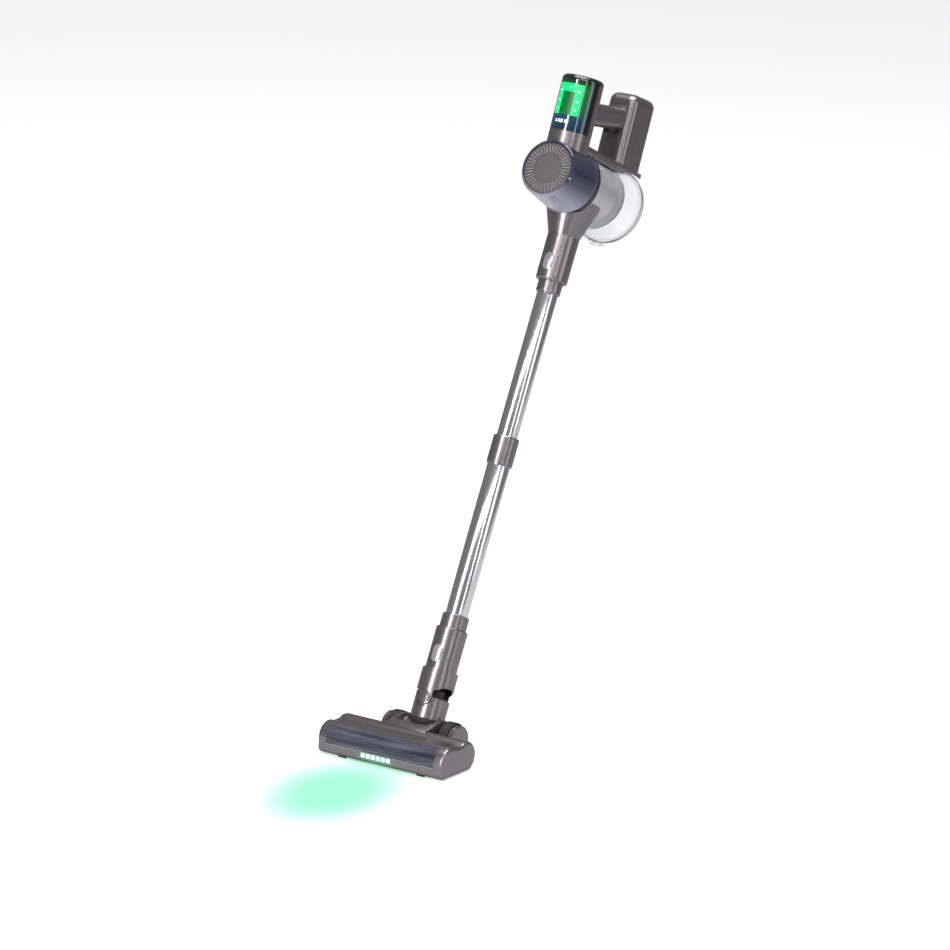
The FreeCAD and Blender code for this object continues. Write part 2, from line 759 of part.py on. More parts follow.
def build_button(label, middle, radius):
    """A silver oval release button whose face follows the round of its housing."""
    face = rod((0.0, 0.0, middle - 30), 60.0, radius + 1)
    keep(label, common(oval(middle, -radius - 3, radius - BUTTON_SEAT + 3), face), "wand")


def button_hole(middle, radius):
    """The opening a release button slides in."""
    return oval(middle, -radius - 3, 12.0, 0.3)


BUTTON_SEAT = D.connector_radius - 2.8
PLUG = D.lower_collar_radius - 1.8


def build_connector():
    radius = D.connector_radius
    bore = PLUG + D.gap
    sleeve = turned([(bore, D.socket_top - 16), (D.socket_radius - 2.8, D.socket_top - 16),
                     (D.socket_radius - 2.8, D.socket_top), (radius, D.socket_top),
                     (radius, D.connector_top - 1.5), (radius - 1.5, D.connector_top),
                     (bore, D.connector_top)])
    keep("wand_connector", cut(group(sleeve), button_hole(D.lower_button_height, radius)), "wand")
    build_button("lower_release_button", D.lower_button_height, radius)


# ---------------------------------------------------------------- wand

def build_wand():
    collar_foot = D.connector_top + D.gap
    seat = D.connector_top - 38
    keep("wand_foot", turned([(D.outer_tube_radius - 2, seat - 6), (PLUG, seat - 6), (PLUG, collar_foot),
                              (D.lower_collar_radius, collar_foot),
                              (D.lower_collar_radius, D.lower_collar_top - 1),
                              (D.lower_collar_radius - 1, D.lower_collar_top),
                              (D.outer_tube_radius, D.lower_collar_top), (D.outer_tube_radius, seat),
                              (D.outer_tube_radius - 2, seat)]), "wand")
    tube_top = D.telescope_collar_foot + 12
    bore = D.outer_tube_radius - D.outer_tube_wall
    keep("outer_tube", ring(D.outer_tube_radius, bore, seat, tube_top), "wand")
    radius, foot, top = D.telescope_collar_radius, D.telescope_collar_foot, D.telescope_collar_top
    guide = D.inner_tube_radius + D.gap
    sleeve = turned([(D.outer_tube_radius, foot), (radius - 0.8, foot), (radius, foot + 2),
                     (radius, top - 2), (radius - 1, top), (guide, top), (guide, tube_top),
                     (D.outer_tube_radius, tube_top)])
    half = D.latch_width / 2
    reach = D.latch_length / 2
    hump = box((-half - 2, guide + 1.5, D.latch_height - reach - 2),
               (half + 2, radius + 1, D.latch_height + reach + 2))
    pocket = box((-half - 0.3, guide + 1, D.latch_height - reach - 0.3),
                 (half + 0.3, radius + 8, D.latch_height + reach + 0.3))
    bore_space = rod((0.0, 0.0, foot), 60.0, D.outer_tube_radius)
    keep("telescope_collar", cut(fuse(group(sleeve), cut(hump, bore_space)), pocket), "wand")
    latch = box((-half, guide + 2.5, D.latch_height - reach), (half, radius + 2.4, D.latch_height + reach))
    latch_foot = D.latch_height - reach
    ends = box((-half, radius + 0.9, latch_foot), (half, radius + 3, latch_foot + 6))
    keep("telescope_latch", cut(latch, ends), "wand")
    bore = D.inner_tube_radius - D.inner_tube_wall
    keep("inner_tube", ring(D.inner_tube_radius, bore, D.inner_tube_foot, D.inlet_foot + 6), "wand")
    top = D.inlet_foot - D.gap
    keep("wand_cuff", turned([(D.inner_tube_radius, D.cuff_foot), (D.cuff_radius - 1, D.cuff_foot),
                              (D.cuff_radius, D.cuff_foot + 1), (D.cuff_radius, top), (CUFF_PLUG, top),
                              (CUFF_PLUG, D.inlet_foot + 40), (14.0, D.inlet_foot + 40),
                              (14.0, D.inlet_foot + 6), (D.inner_tube_radius, D.inlet_foot + 6)]), "wand")


CUFF_PLUG = D.cuff_radius - 0.6


# ---------------------------------------------------------------- dust cup, in its own frame

def cup_envelope(extra):
    """The outer round of the dust cup and its shell, grown by a clearance."""
    wide = D.bowl_rear_radius + 1.5 + extra
    face = -D.disc_face - extra
    shell_rear = D.front_shell_rear + extra - 12
    return turned([(0, face), (D.front_shell_radius + extra, face),
                   (D.front_shell_rear_radius + extra, -D.front_shell_rear),
                   (D.front_shell_rear_radius + extra, -shell_rear + 1),
                   (D.bowl_neck_radius + extra, -shell_rear + 1),
                   (D.bowl_neck_radius + extra, D.flange_set - 4 - extra),
                   (wide - 6, D.flange_set + 8 - extra), (wide, D.flange_set + 26 - extra),
                   (wide, D.bowl_rear + 90), (0, D.bowl_rear + 90)], "y")


def on_wand(obj):
    """A piece of the cup's frame, as it lies in the wand's frame."""
    leaned = group(obj)
    move(leaned, (0.0, 0.0, D.cup_height), FreeCAD.Rotation(V(-1, 0, 0), number(D.cup_pitch)))
    leaned.setExpression("Placement.Rotation.Angle", D.cup_pitch.text)
    return leaned


def build_inlet():
    foot, radius = D.inlet_foot, D.inlet_radius
    bore = CUFF_PLUG + D.gap
    funnel = turned([(bore, foot), (radius - 1.6, foot), (radius, foot + 3), (radius, D.inlet_flare_foot),
                     (D.inlet_flare_radius, D.inlet_flare_top),
                     (D.inlet_flare_radius - D.wall, D.inlet_flare_top),
                     (radius - D.wall, D.inlet_flare_foot + 1), (bore, D.inlet_flare_foot - 12)])
    shape = cut(group(funnel), button_hole(D.upper_button_height, radius), on_wand(cup_envelope(0.3)))
    keep("inlet_neck", shape, "wand")
    build_button("upper_release_button", D.upper_button_height, radius)


def build_disc():
    """The ribbed front disc: a turned plate with a circle of raised radial ribs."""
    face, radius = D.disc_face, D.disc_radius
    body = turned([(0, 1.0 - face), (radius - 0.6, 1.0 - face), (radius, 1.6 - face),
                   (radius, D.disc_thickness - face), (0, D.disc_thickness - face)], "y")
    rib = outline(body, "XZ_Plane", [(-0.7, 22.0), (0.7, 22.0), (0.9, radius - 2), (-0.9, radius - 2)],
                  face - 1.2)
    pad = body.newObject("PartDesign::Pad", "Rib")
    pad.Profile = rib
    pad.Length = 1.2
    doc.recompute()
    ribs = body.newObject("PartDesign::PolarPattern", "Ribs")
    ribs.Originals = [pad]
    ribs.Axis = (rib, ["N_Axis"])
    ribs.Angle = 360
    ribs.setExpression("Occurrences", D.rib_count.text)
    body.Tip = ribs
    keep("ribbed_disc", body, "cup")


def build_cup():
    face, rear = -D.disc_face, -D.front_shell_rear
    radius, wide, wall = D.front_shell_radius, D.front_shell_rear_radius, D.cup_wall
    rim = D.disc_radius + 0.2
    shell = turned([(rim, face), (radius - 1.5, face), (radius, face + 1.5), (wide, rear),
                    (wide - wall, rear), (radius - wall, face + 5), (rim, face + 5)], "y")
    keep("front_shell", shell, "cup")
    ring_rear = -D.bowl_front
    inner = wide - wall - 4
    housing = turned([(inner - 10, face + 12), (inner - 8, face + 12), (inner, rear + 0.2),
                      (D.bowl_neck_radius + 1.2, rear + 0.2),
                      (D.bowl_neck_radius + 1.2, ring_rear - 0.4), (D.mesh_radius - 6, ring_rear - 0.4),
                      (D.mesh_radius - 6, ring_rear - 2.6), (inner - 2, ring_rear - 2.6),
                      (inner - 2, rear)], "y")
    keep("motor_housing", housing, "cup")
    motor = turned([(2.05, face + 16), (28.0, face + 16), (31.0, face + 22), (31.0, rear - 10),
                    (2.05, rear - 10)], "y")
    keep("suction_motor", motor, "cup")
    fan = turned([(0, face + 18), (2.0, face + 18), (2.0, rear - 8.0), (29.0, rear - 8.0),
                  (31.0, rear - 6.0), (12.0, rear), (0, rear)], "y")
    keep("fan_impeller", fan, "cup")
    keep("mesh_filter", ring(D.mesh_radius, D.mesh_radius - 1.5, ring_rear, D.flange_set - 6, "y"), "cup")
    core = turned([(12.0, ring_rear), (D.mesh_radius - 3, ring_rear),
                   (D.mesh_radius - 3, D.flange_set - 12), (12.0, D.flange_set - 12)], "y")
    keep("filter_core", core, "cup")
    flange = turned([(0, D.flange_set - 6), (D.mesh_radius, D.flange_set - 6),
                     (D.bowl_neck_radius - wall - D.gap, D.flange_set - 4),
                     (D.bowl_neck_radius - wall - D.gap, D.flange_set + 4),
                     (D.bowl_neck_radius - wall - 3, D.flange_set + 4),
                     (D.mesh_radius - 6, D.flange_set - 4), (0, D.flange_set - 4)], "y")
    keep("filter_flange", flange, "cup")
    build_bowl()


def build_bowl():
    neck, wide, wall = D.bowl_neck_radius, D.bowl_rear_radius, D.cup_wall
    seam = D.bowl_rear - 8
    start, swell = -D.bowl_front, D.flange_set - 2
    bowl = turned([(neck - wall, start), (neck, start), (neck, swell), (wide - 6, swell + 12),
                   (wide, swell + 30), (wide, seam), (wide - wall, seam), (wide - wall, swell + 30),
                   (wide - 6 - wall, swell + 12), (neck - wall, swell)], "y")
    keep("clear_bowl", fuse(group(bowl), *knuckles(0)), "cup")
    lid = turned([(0, seam + D.gap), (wide - wall - D.gap, seam + D.gap), (wide - wall - D.gap, seam + 0.8),
                  (wide + 1, seam + 0.8), (wide + 1, D.bowl_rear - 3), (wide - 2, D.bowl_rear),
                  (0, D.bowl_rear)], "y")
    hollow = rod((0.0, seam, 0.0), D.bowl_rear - wall - seam, wide - wall * 2, "y")
    around = [rod((side * 9.0 - 4.6, HINGE_Y, HINGE_Z), 9.2, 4.0, "x") for side in (-1, 1)]
    pin = rod((-13.0, HINGE_Y, HINGE_Z), 26.0, 1.4, "x")
    keep("bowl_lid", fuse(cut(group(lid), hollow, *around), cut(knuckles(1)[0], box(
        (-4.6, seam - 20, -80.0), (4.6, seam + 0.4, -D.bowl_rear_radius + 0.5))), pin), "cup")


HINGE_Y = D.bowl_rear - 7.0
HINGE_Z = -D.bowl_rear_radius - 3.6


def knuckles(middle):
    """The lid hinge under the bowl: two outer knuckles on the bowl, one on the lid."""
    spans = [(-4.2, 8.4)] if middle else [(4.8, 8.2), (-13.0, 8.2)]
    shapes = []
    for start, width in spans:
        barrel = rod((start, HINGE_Y, HINGE_Z), width, 3.0, "x")
        y_low, y_high = (HINGE_Y, D.bowl_rear) if middle else (HINGE_Y - 12, HINGE_Y - 1)
        web = box((start, y_low, HINGE_Z), (start + width, y_high, 3.0 - D.bowl_rear_radius))
        barrel_and_web = fuse(barrel, web)
        if middle:
            shapes.append(barrel_and_web)
        else:
            hole = rod((start - 1, HINGE_Y, HINGE_Z), width + 2, 1.45, "x")
            inside = rod((start - 1, HINGE_Y, HINGE_Z), width + 2, 0.1, "x")
            clear = rod((0.0, HINGE_Y - 40, 0.0), 60.0, D.bowl_rear_radius - 1, "y")
            shapes.append(cut(barrel_and_web, hole, inside, clear))
    return shapes


# ---------------------------------------------------------------- platform, tower, handle, battery

def under_platform():
    """Everything below the platform's top face, as it lies in the upper frame."""
    top = D.platform_top - D.upper_base
    slab = box((-100.0, -200.0, top - 120), (100.0, 250.0, top))
    leaned = group(slab)
    move(leaned, (0.0, 0.0, 0.0), FreeCAD.Rotation(V(-1, 0, 0), number(D.tower_pitch)))
    leaned.setExpression("Placement.Rotation.Angle", D.tower_pitch.text)
    return leaned


def upper_on_wand(obj):
    """A piece of the upper frame, as it lies in the wand's frame."""
    leaned = group(obj)
    move(leaned, (0.0, 0.0, D.upper_base), FreeCAD.Rotation(V(1, 0, 0), number(D.tower_pitch)))
    leaned.setExpression("Placement.Rotation.Angle", D.tower_pitch.text)
    return leaned


def cup_in_upper(obj):
    """A piece of the cup's frame, as it lies in the upper frame."""
    leaned = group(obj)
    drop = D.upper_base - D.cup_height
    turn = D.tower_pitch + D.cup_pitch
    move(leaned, (0.0, -drop * sine(D.tower_pitch), -drop * cosine(D.tower_pitch)),
         FreeCAD.Rotation(V(-1, 0, 0), number(turn)))
    leaned.setExpression("Placement.Rotation.Angle", turn.text)
    return leaned


def tower_rod(radius, start, height):
    """A rod along the tower's own axis."""
    return rod((0.0, -D.tower_set, start), height, radius)


def build_platform():
    half = D.platform_half_width
    slab = box((-half, -D.platform_front, D.platform_foot), (half, D.platform_rear, D.platform_top))
    tower = upper_on_wand(tower_rod(D.tower_radius, -60.0, 120.0))
    keep("platform", cut(slab, on_wand(cup_envelope(0.3)), tower), "wand")


LENS_EDGE = -D.tower_set - D.tower_radius * cosine(D.lens_half_angle)
TOP_PLATE = 8.0


def tower_solid(radius, top):
    """The tower's round outside with its softened top edge."""
    outside = tower_rod(radius, -40.0, top + 40)
    return rounded(outside, 7.0, lambda edge: edge.Vertexes and abs(edge.BoundBox.ZMin - number(top)) < 0.01
                   and abs(edge.BoundBox.ZMax - number(top)) < 0.01)


def build_tower():
    top, radius = D.tower_top, D.tower_radius
    inner = radius - D.lens_thickness
    hollow = tower_rod(inner, -60.0, top - TOP_PLATE + 60)
    skin = cut(tower_solid(radius, top), hollow)
    front = box((-60.0, -120.0, D.lens_foot), (60.0, LENS_EDGE, 200.0))
    cap = box((-60.0, -120.0, top - TOP_PLATE), (60.0, 60.0, 200.0))
    keep("display_lens", common(skin, fuse(front, cap)), "upper")
    keep("tower_shell", cut(skin, front, cap, cup_in_upper(cup_envelope(0.3))), "upper")
    panel = cut(tower_rod(inner - 0.4, D.lens_foot + 2, top - TOP_PLATE - D.lens_foot - 4),
                tower_rod(inner - 2.0, 0.0, 200.0))
    keep("display_panel", common(panel, box((-25.0, -120.0, 0.0), (25.0, LENS_EDGE - 8, 200.0))), "upper")


def bar_frame(obj):
    """A piece drawn along the handle bar, as it lies in the upper frame."""
    leaned = group(obj)
    move(leaned, (0.0, 0.0, D.bar_foot + 3.5), FreeCAD.Rotation(V(1, 0, 0), number(D.bar_rise)))
    leaned.setExpression("Placement.Rotation.Angle", D.bar_rise.text)
    return leaned


def trigger_block(extra, rise):
    """The trigger, or the pocket in the bar that it moves in."""
    end = D.block_front - 4
    return box((-6.0 - extra, end - 17 - extra, -6.0), (6.0 + extra, end + extra, 7.0 + rise))


def build_handle():
    half = D.bar_half_width
    bar = box((-half, -45.0, 0.0), (half, 70.0, D.bar_height))
    bar = rounded(bar, 10.0, lambda edge: runs_along(edge, V(0, 1, 0)))
    inside = box((3.0 - half, -60.0, 13.0), (half - 3, 80.0, D.bar_height - 3))
    hollow_bar = bar_frame(cut(bar, inside, trigger_block(0.4, 5.5)))
    ends = [tower_rod(D.tower_radius, 0.0, 200.0), block_solid(), panel_plate(),
            box((-60.0, D.block_front + 5, -20.0), (60.0, 200.0, 200.0))]
    keep("handle_bar", cut(hollow_bar, *ends), "upper")
    keep("trigger", bar_frame(trigger_block(0.0, 0.0)), "upper")


def block_solid():
    """The rounded block behind the handle, housing and battery together."""
    half = D.platform_half_width
    block = box((-half, D.block_front, -20.0), (half, D.block_rear, D.block_top))
    block = rounded(block, D.block_corner, lambda edge: runs_along(edge, V(0, 0, 1)))
    top = number(D.block_top)
    return rounded(block, D.block_corner - 1, lambda edge: abs(edge.BoundBox.ZMin - top) < 0.01
                   and abs(edge.BoundBox.ZMax - top) < 0.01)


def build_block():
    half = D.platform_half_width
    split = D.block_split
    whole = cut(block_solid(), under_platform(), cup_in_upper(cup_envelope(0.3)))
    front_room = box((3.0 - half, D.block_front + 6, 14.0), (half - 3, split - 2.5, D.block_top - 12))
    rear_room = box((2.6 - half, split + 3, BATTERY_FLOOR + 3),
                    (half - 2.6, D.block_rear - 3, D.block_top - 8))
    front = common(whole, box((-60.0, 0.0, -30.0), (60.0, split, 200.0)))
    below = box((-60.0, split, -30.0), (60.0, 300.0, BATTERY_FLOOR - D.gap))
    housing = fuse(cut(front, front_room), common(whole, below))
    keep("block_housing", cut(housing, panel_plate()), "upper")
    keep("handle_panel", panel_plate(), "upper")
    rear = common(whole, box((-60.0, split + D.gap, BATTERY_FLOOR), (60.0, 300.0, 200.0)))
    button = box((-8.0, D.block_rear - 3, D.block_top - 34), (8.0, D.block_rear + 1, D.block_top - 22))
    pocket = box((-8.4, D.block_rear - 6, D.block_top - 34.4), (8.4, D.block_rear + 2, D.block_top - 21.6))
    bore = rod((0.0, D.block_rear - D.socket_depth, SOCKET_HEIGHT), 30.0, D.socket_bore_radius, "y")
    boss = rod((0.0, D.block_rear - D.socket_depth, SOCKET_HEIGHT), D.socket_depth - 1, 5.5, "y")
    keep("battery_case", cut(fuse(cut(rear, rear_room), boss), bore, pocket), "upper")
    keep("battery_release", button, "upper")
    keep("battery_cells", group(*cells()), "upper")


BATTERY_FLOOR = D.platform_top - D.upper_base + 4
SOCKET_HEIGHT = BATTERY_FLOOR + 12


def panel_plate():
    """The flat panel let into the front of the block, round at its foot."""
    half, low, face = D.platform_half_width - D.block_corner, 20.0, D.block_front
    plate = box((-half, face - 0.2, low), (half, face + 2, D.block_top - 20))
    return fuse(plate, rod((0.0, face - 0.2, low), 2.2, half, "y"))


def cells():
    """The battery cells, standing in rows of two."""
    row_y = D.block_split + 3.2 + D.cell_radius
    spacing = D.cell_radius * 2 + 0.4
    return [rod((spacing * (index - 0.5), row_y, BATTERY_FLOOR + 3.4), D.cell_length, D.cell_radius)
            for index in range(2)]


# ---------------------------------------------------------------- build and export

build_head_casing()
build_end_caps()
build_roller()
build_shoulder()
build_wheels()
build_lower_neck()
build_upper_socket()
build_connector()
build_wand()
build_inlet()
build_disc()
build_cup()
build_platform()
build_tower()
build_handle()
build_block()

doc.recompute()
faults = [obj.Label for obj in doc.Objects if "Invalid" in obj.State or "Error" in obj.State]
for node in NODES:
    if node.Shape.isNull() or not node.Shape.isValid() or not node.Shape.Solids:
        faults.append(node.Label)
if faults:
    raise RuntimeError("not built: " + ", ".join(faults))

os.makedirs("parts", exist_ok=True)
for node in NODES:
    node.Shape.exportStep("parts/" + node.Label + ".step")
print(len(NODES), "parts written")
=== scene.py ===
"""Cordless stick vacuum: finishes, fine detail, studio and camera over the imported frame."""

import json
import logging
import math
from dataclasses import dataclass, field
from enum import Enum
from typing import Callable, Iterable, Sequence

import bmesh
import bpy
from mathutils import Matrix, Vector

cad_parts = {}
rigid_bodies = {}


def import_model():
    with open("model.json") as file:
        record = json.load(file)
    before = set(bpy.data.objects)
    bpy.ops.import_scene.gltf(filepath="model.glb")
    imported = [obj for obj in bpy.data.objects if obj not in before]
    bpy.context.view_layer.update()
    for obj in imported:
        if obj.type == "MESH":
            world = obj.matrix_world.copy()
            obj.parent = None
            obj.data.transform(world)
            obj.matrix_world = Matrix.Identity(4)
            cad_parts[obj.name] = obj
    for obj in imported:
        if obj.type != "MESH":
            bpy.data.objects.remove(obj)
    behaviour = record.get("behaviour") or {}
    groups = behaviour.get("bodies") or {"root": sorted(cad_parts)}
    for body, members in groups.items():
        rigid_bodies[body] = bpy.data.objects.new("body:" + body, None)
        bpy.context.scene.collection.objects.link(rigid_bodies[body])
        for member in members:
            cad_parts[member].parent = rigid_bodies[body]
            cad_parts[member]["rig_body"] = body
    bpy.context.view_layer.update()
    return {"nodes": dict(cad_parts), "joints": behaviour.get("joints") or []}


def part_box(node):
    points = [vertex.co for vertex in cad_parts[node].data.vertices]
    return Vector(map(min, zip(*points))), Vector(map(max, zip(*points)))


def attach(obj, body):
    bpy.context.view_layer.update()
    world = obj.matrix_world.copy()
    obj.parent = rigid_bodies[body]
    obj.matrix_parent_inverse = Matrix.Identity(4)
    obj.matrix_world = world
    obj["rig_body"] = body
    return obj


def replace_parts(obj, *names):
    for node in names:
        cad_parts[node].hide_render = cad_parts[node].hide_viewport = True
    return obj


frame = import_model()
log = logging.getLogger("stick_vacuum")

Colour = tuple[float, float, float]
MM = 0.001


# ------------------------------------------------------------------ places on the vacuum

@dataclass(frozen=True)
class Station:
    """A place on the vacuum with its own axes, X always the frame's X."""

    origin: Vector
    ahead: Vector
    up: Vector

    def at(self, x: float, y: float, z: float) -> Vector:
        """A point given in millimetres along the station's axes."""
        return self.origin + (Vector((1, 0, 0)) * x + self.ahead * y + self.up * z) * MM

    def along(self, x: float, y: float, z: float) -> Vector:
        """A direction given along the station's axes."""
        return Vector((1, 0, 0)) * x + self.ahead * y + self.up * z

    def matrix(self) -> Matrix:
        """The turn and shift that carry the station's metres to the frame."""
        columns = (Vector((1, 0, 0)), self.ahead, self.up)
        turn = Matrix([[column[row] for column in columns] for row in range(3)]).to_4x4()
        return Matrix.Translation(self.origin) @ turn


def joint(name: str) -> dict:
    """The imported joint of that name."""
    return next(item for item in frame["joints"] if item["name"] == name)


def stations() -> dict[str, Station]:
    """The stations of the head, roller, wheels, wand, cup, tower and bar.

    Returns:
        Stations by name, worked out from the joints' places and axes.
    """
    across = Vector((1, 0, 0))
    lift = Vector((0, 0, 1))
    pivot = Vector(joint("neck_pitch")["pos_m"])
    wand_up = Vector(joint("wand_release")["axis"]).normalized()
    cup_back = Vector(joint("bowl_slide")["axis"]).normalized()
    tower_up = Vector(joint("battery_slide")["axis"]).normalized()
    bar_up = Vector(joint("trigger_pull")["axis"]).normalized()
    upper = pivot + wand_up * 0.890
    return {
        "head": Station(Vector((0, pivot.y, 0)), Vector((0, 1, 0)), lift),
        "roller": Station(Vector(joint("roller_spin")["pos_m"]), Vector((0, 1, 0)), lift),
        "wheels": Station(Vector((0, *joint("wheel_left_spin")["pos_m"][1:])), Vector((0, 1, 0)), lift),
        "wand": Station(pivot, wand_up.cross(across), wand_up),
        "cup": Station(Vector(joint("fan_spin")["pos_m"]), cup_back, across.cross(cup_back)),
        "upper": Station(upper, tower_up.cross(across), tower_up),
        "bar": Station(upper + tower_up * 0.0465, bar_up.cross(across), bar_up),
    }


PLACES = stations()


# ------------------------------------------------------------------ shader groups

def group_tree(name: str, inputs: Sequence[tuple[str, str, object]], outputs: Sequence[tuple[str, str]]):
    """A new shader group with its sockets.

    Args:
        name: What the group is called.
        inputs: Name, socket type and first value of each input.
        outputs: Name and socket type of each output.

    Returns:
        The tree with its input node and output node.
    """
    tree = bpy.data.node_groups.new(name, "ShaderNodeTree")
    for label, kind, value in inputs:
        socket = tree.interface.new_socket(label, in_out="INPUT", socket_type=kind)
        socket.default_value = value
    for label, kind in outputs:
        tree.interface.new_socket(label, in_out="OUTPUT", socket_type=kind)
    return tree, tree.nodes.new("NodeGroupInput"), tree.nodes.new("NodeGroupOutput")


def grain_group() -> bpy.types.NodeTree:
    """Moulded grain: fine speckle in colour, gloss and height, with broad handling marks.

    Returns:
        The shader group.
    """
    numbers = (("Scale", 900.0), ("Depth", 0.1), ("Rough Low", 0.3), ("Rough High", 0.4))
    tree, source, sink = group_tree(
        "moulded_grain",
        [("Base", "NodeSocketColor", (0.5, 0.5, 0.5, 1)), ("Fleck", "NodeSocketColor", (0.4, 0.4, 0.4, 1))]
        + [(label, "NodeSocketFloat", value) for label, value in numbers],
        [("Color", "NodeSocketColor"), ("Roughness", "NodeSocketFloat"), ("Normal", "NodeSocketVector")])
    link = tree.links.new
    place = tree.nodes.new("ShaderNodeTexCoord")
    fine = tree.nodes.new("ShaderNodeTexNoise")
    fine.inputs["Detail"].default_value = 3.0
    broad = tree.nodes.new("ShaderNodeTexNoise")
    broad.inputs["Scale"].default_value = 14.0
    broad.inputs["Detail"].default_value = 4.0
    link(place.outputs["Object"], fine.inputs["Vector"])
    link(place.outputs["Object"], broad.inputs["Vector"])
    link(source.outputs["Scale"], fine.inputs["Scale"])
    paint = tree.nodes.new("ShaderNodeMix")
    paint.data_type = "RGBA"
    link(fine.outputs["Fac"], paint.inputs["Factor"])
    link(source.outputs["Base"], paint.inputs[6])
    link(source.outputs["Fleck"], paint.inputs[7])
    gloss = tree.nodes.new("ShaderNodeMapRange")
    gloss.inputs["From Min"].default_value = 0.3
    gloss.inputs["From Max"].default_value = 0.7
    link(broad.outputs["Fac"], gloss.inputs["Value"])
    link(source.outputs["Rough Low"], gloss.inputs["To Min"])
    link(source.outputs["Rough High"], gloss.inputs["To Max"])
    bump = tree.nodes.new("ShaderNodeBump")
    bump.inputs["Distance"].default_value = 0.0002
    link(source.outputs["Depth"], bump.inputs["Strength"])
    link(fine.outputs["Fac"], bump.inputs["Height"])
    link(paint.outputs[2], sink.inputs["Color"])
    link(gloss.outputs["Result"], sink.inputs["Roughness"])
    link(bump.outputs["Normal"], sink.inputs["Normal"])
    return tree


def drawn_group() -> bpy.types.NodeTree:
    """Drawn metal: long fine lines along the wand in gloss and height.

    Returns:
        The shader group.
    """
    tree, source, sink = group_tree(
        "drawn_lines",
        [("Base", "NodeSocketColor", (0.8, 0.8, 0.8, 1)), ("Line", "NodeSocketColor", (0.7, 0.7, 0.7, 1)),
         ("Depth", "NodeSocketFloat", 0.1), ("Rough Low", "NodeSocketFloat", 0.15),
         ("Rough High", "NodeSocketFloat", 0.25)],
        [("Color", "NodeSocketColor"), ("Roughness", "NodeSocketFloat"), ("Normal", "NodeSocketVector")])
    link = tree.links.new
    place = tree.nodes.new("ShaderNodeTexCoord")
    lay = tree.nodes.new("ShaderNodeMapping")
    lay.vector_type = "TEXTURE"
    lean = math.atan2(PLACES["wand"].up.y, PLACES["wand"].up.z)
    lay.inputs["Rotation"].default_value = (-lean, 0, 0)
    lay.inputs["Scale"].default_value = (1, 1, 90)
    lines = tree.nodes.new("ShaderNodeTexNoise")
    lines.inputs["Scale"].default_value = 1600.0
    lines.inputs["Detail"].default_value = 2.0
    link(place.outputs["Object"], lay.inputs["Vector"])
    link(lay.outputs["Vector"], lines.inputs["Vector"])
    paint = tree.nodes.new("ShaderNodeMix")
    paint.data_type = "RGBA"
    link(lines.outputs["Fac"], paint.inputs["Factor"])
    link(source.outputs["Base"], paint.inputs[6])
    link(source.outputs["Line"], paint.inputs[7])
    gloss = tree.nodes.new("ShaderNodeMapRange")
    link(lines.outputs["Fac"], gloss.inputs["Value"])
    link(source.outputs["Rough Low"], gloss.inputs["To Min"])
    link(source.outputs["Rough High"], gloss.inputs["To Max"])
    bump = tree.nodes.new("ShaderNodeBump")
    bump.inputs["Distance"].default_value = 0.0001
    link(source.outputs["Depth"], bump.inputs["Strength"])
    link(lines.outputs["Fac"], bump.inputs["Height"])
    link(paint.outputs[2], sink.inputs["Color"])
    link(gloss.outputs["Result"], sink.inputs["Roughness"])
    link(bump.outputs["Normal"], sink.inputs["Normal"])
    return tree


class ShaderGroups:
    """The shader groups, each built once."""

    grain = grain_group()
    drawn = drawn_group()


# ------------------------------------------------------------------ finishes

def rgba(colour: Colour) -> tuple[float, float, float, float]:
    """A colour with full alpha."""
    return (*colour, 1.0)


def blank_material(name: str):
    """A material with its Principled shader.

    Args:
        name: What the finish is called.

    Returns:
        The material and its Principled node.
    """
    material = bpy.data.materials.new(name)
    material.use_nodes = True
    return material, material.node_tree.nodes["Principled BSDF"]


@dataclass(frozen=True)
class Moulded:
    """A moulded plastic, rubber or lacquer with grain."""

    name: str
    colour: Colour
    fleck: Colour
    rough: tuple[float, float] = (0.3, 0.4)
    metallic: float = 0.0
    coat: float = 0.0
    scale: float = 900.0
    depth: float = 0.05

    def material(self) -> bpy.types.Material:
        """The finish as a material."""
        material, shader = blank_material(self.name)
        grain = material.node_tree.nodes.new("ShaderNodeGroup")
        grain.node_tree = ShaderGroups.grain
        grain.inputs["Base"].default_value = rgba(self.colour)
        grain.inputs["Fleck"].default_value = rgba(self.fleck)
        grain.inputs["Scale"].default_value = self.scale
        grain.inputs["Depth"].default_value = self.depth
        grain.inputs["Rough Low"].default_value = self.rough[0]
        grain.inputs["Rough High"].default_value = self.rough[1]
        for word, socket in (("Color", "Base Color"), ("Roughness", "Roughness"), ("Normal", "Normal")):
            material.node_tree.links.new(grain.outputs[word], shader.inputs[socket])
        shader.inputs["Metallic"].default_value = self.metallic
        shader.inputs["Coat Weight"].default_value = self.coat
        shader.inputs["Coat Roughness"].default_value = 0.12
        return material


@dataclass(frozen=True)
class Drawn:
    """A drawn or brushed metal."""

    name: str
    colour: Colour
    line: Colour
    rough: tuple[float, float] = (0.12, 0.24)
    depth: float = 0.08

    def material(self) -> bpy.types.Material:
        """The finish as a material."""
        material, shader = blank_material(self.name)
        drawn = material.node_tree.nodes.new("ShaderNodeGroup")
        drawn.node_tree = ShaderGroups.drawn
        drawn.inputs["Base"].default_value = rgba(self.colour)
        drawn.inputs["Line"].default_value = rgba(self.line)
        drawn.inputs["Depth"].default_value = self.depth
        drawn.inputs["Rough Low"].default_value = self.rough[0]
        drawn.inputs["Rough High"].default_value = self.rough[1]
        for word, socket in (("Color", "Base Color"), ("Roughness", "Roughness"), ("Normal", "Normal")):
            material.node_tree.links.new(drawn.outputs[word], shader.inputs[socket])
        shader.inputs["Metallic"].default_value = 1.0
        return material


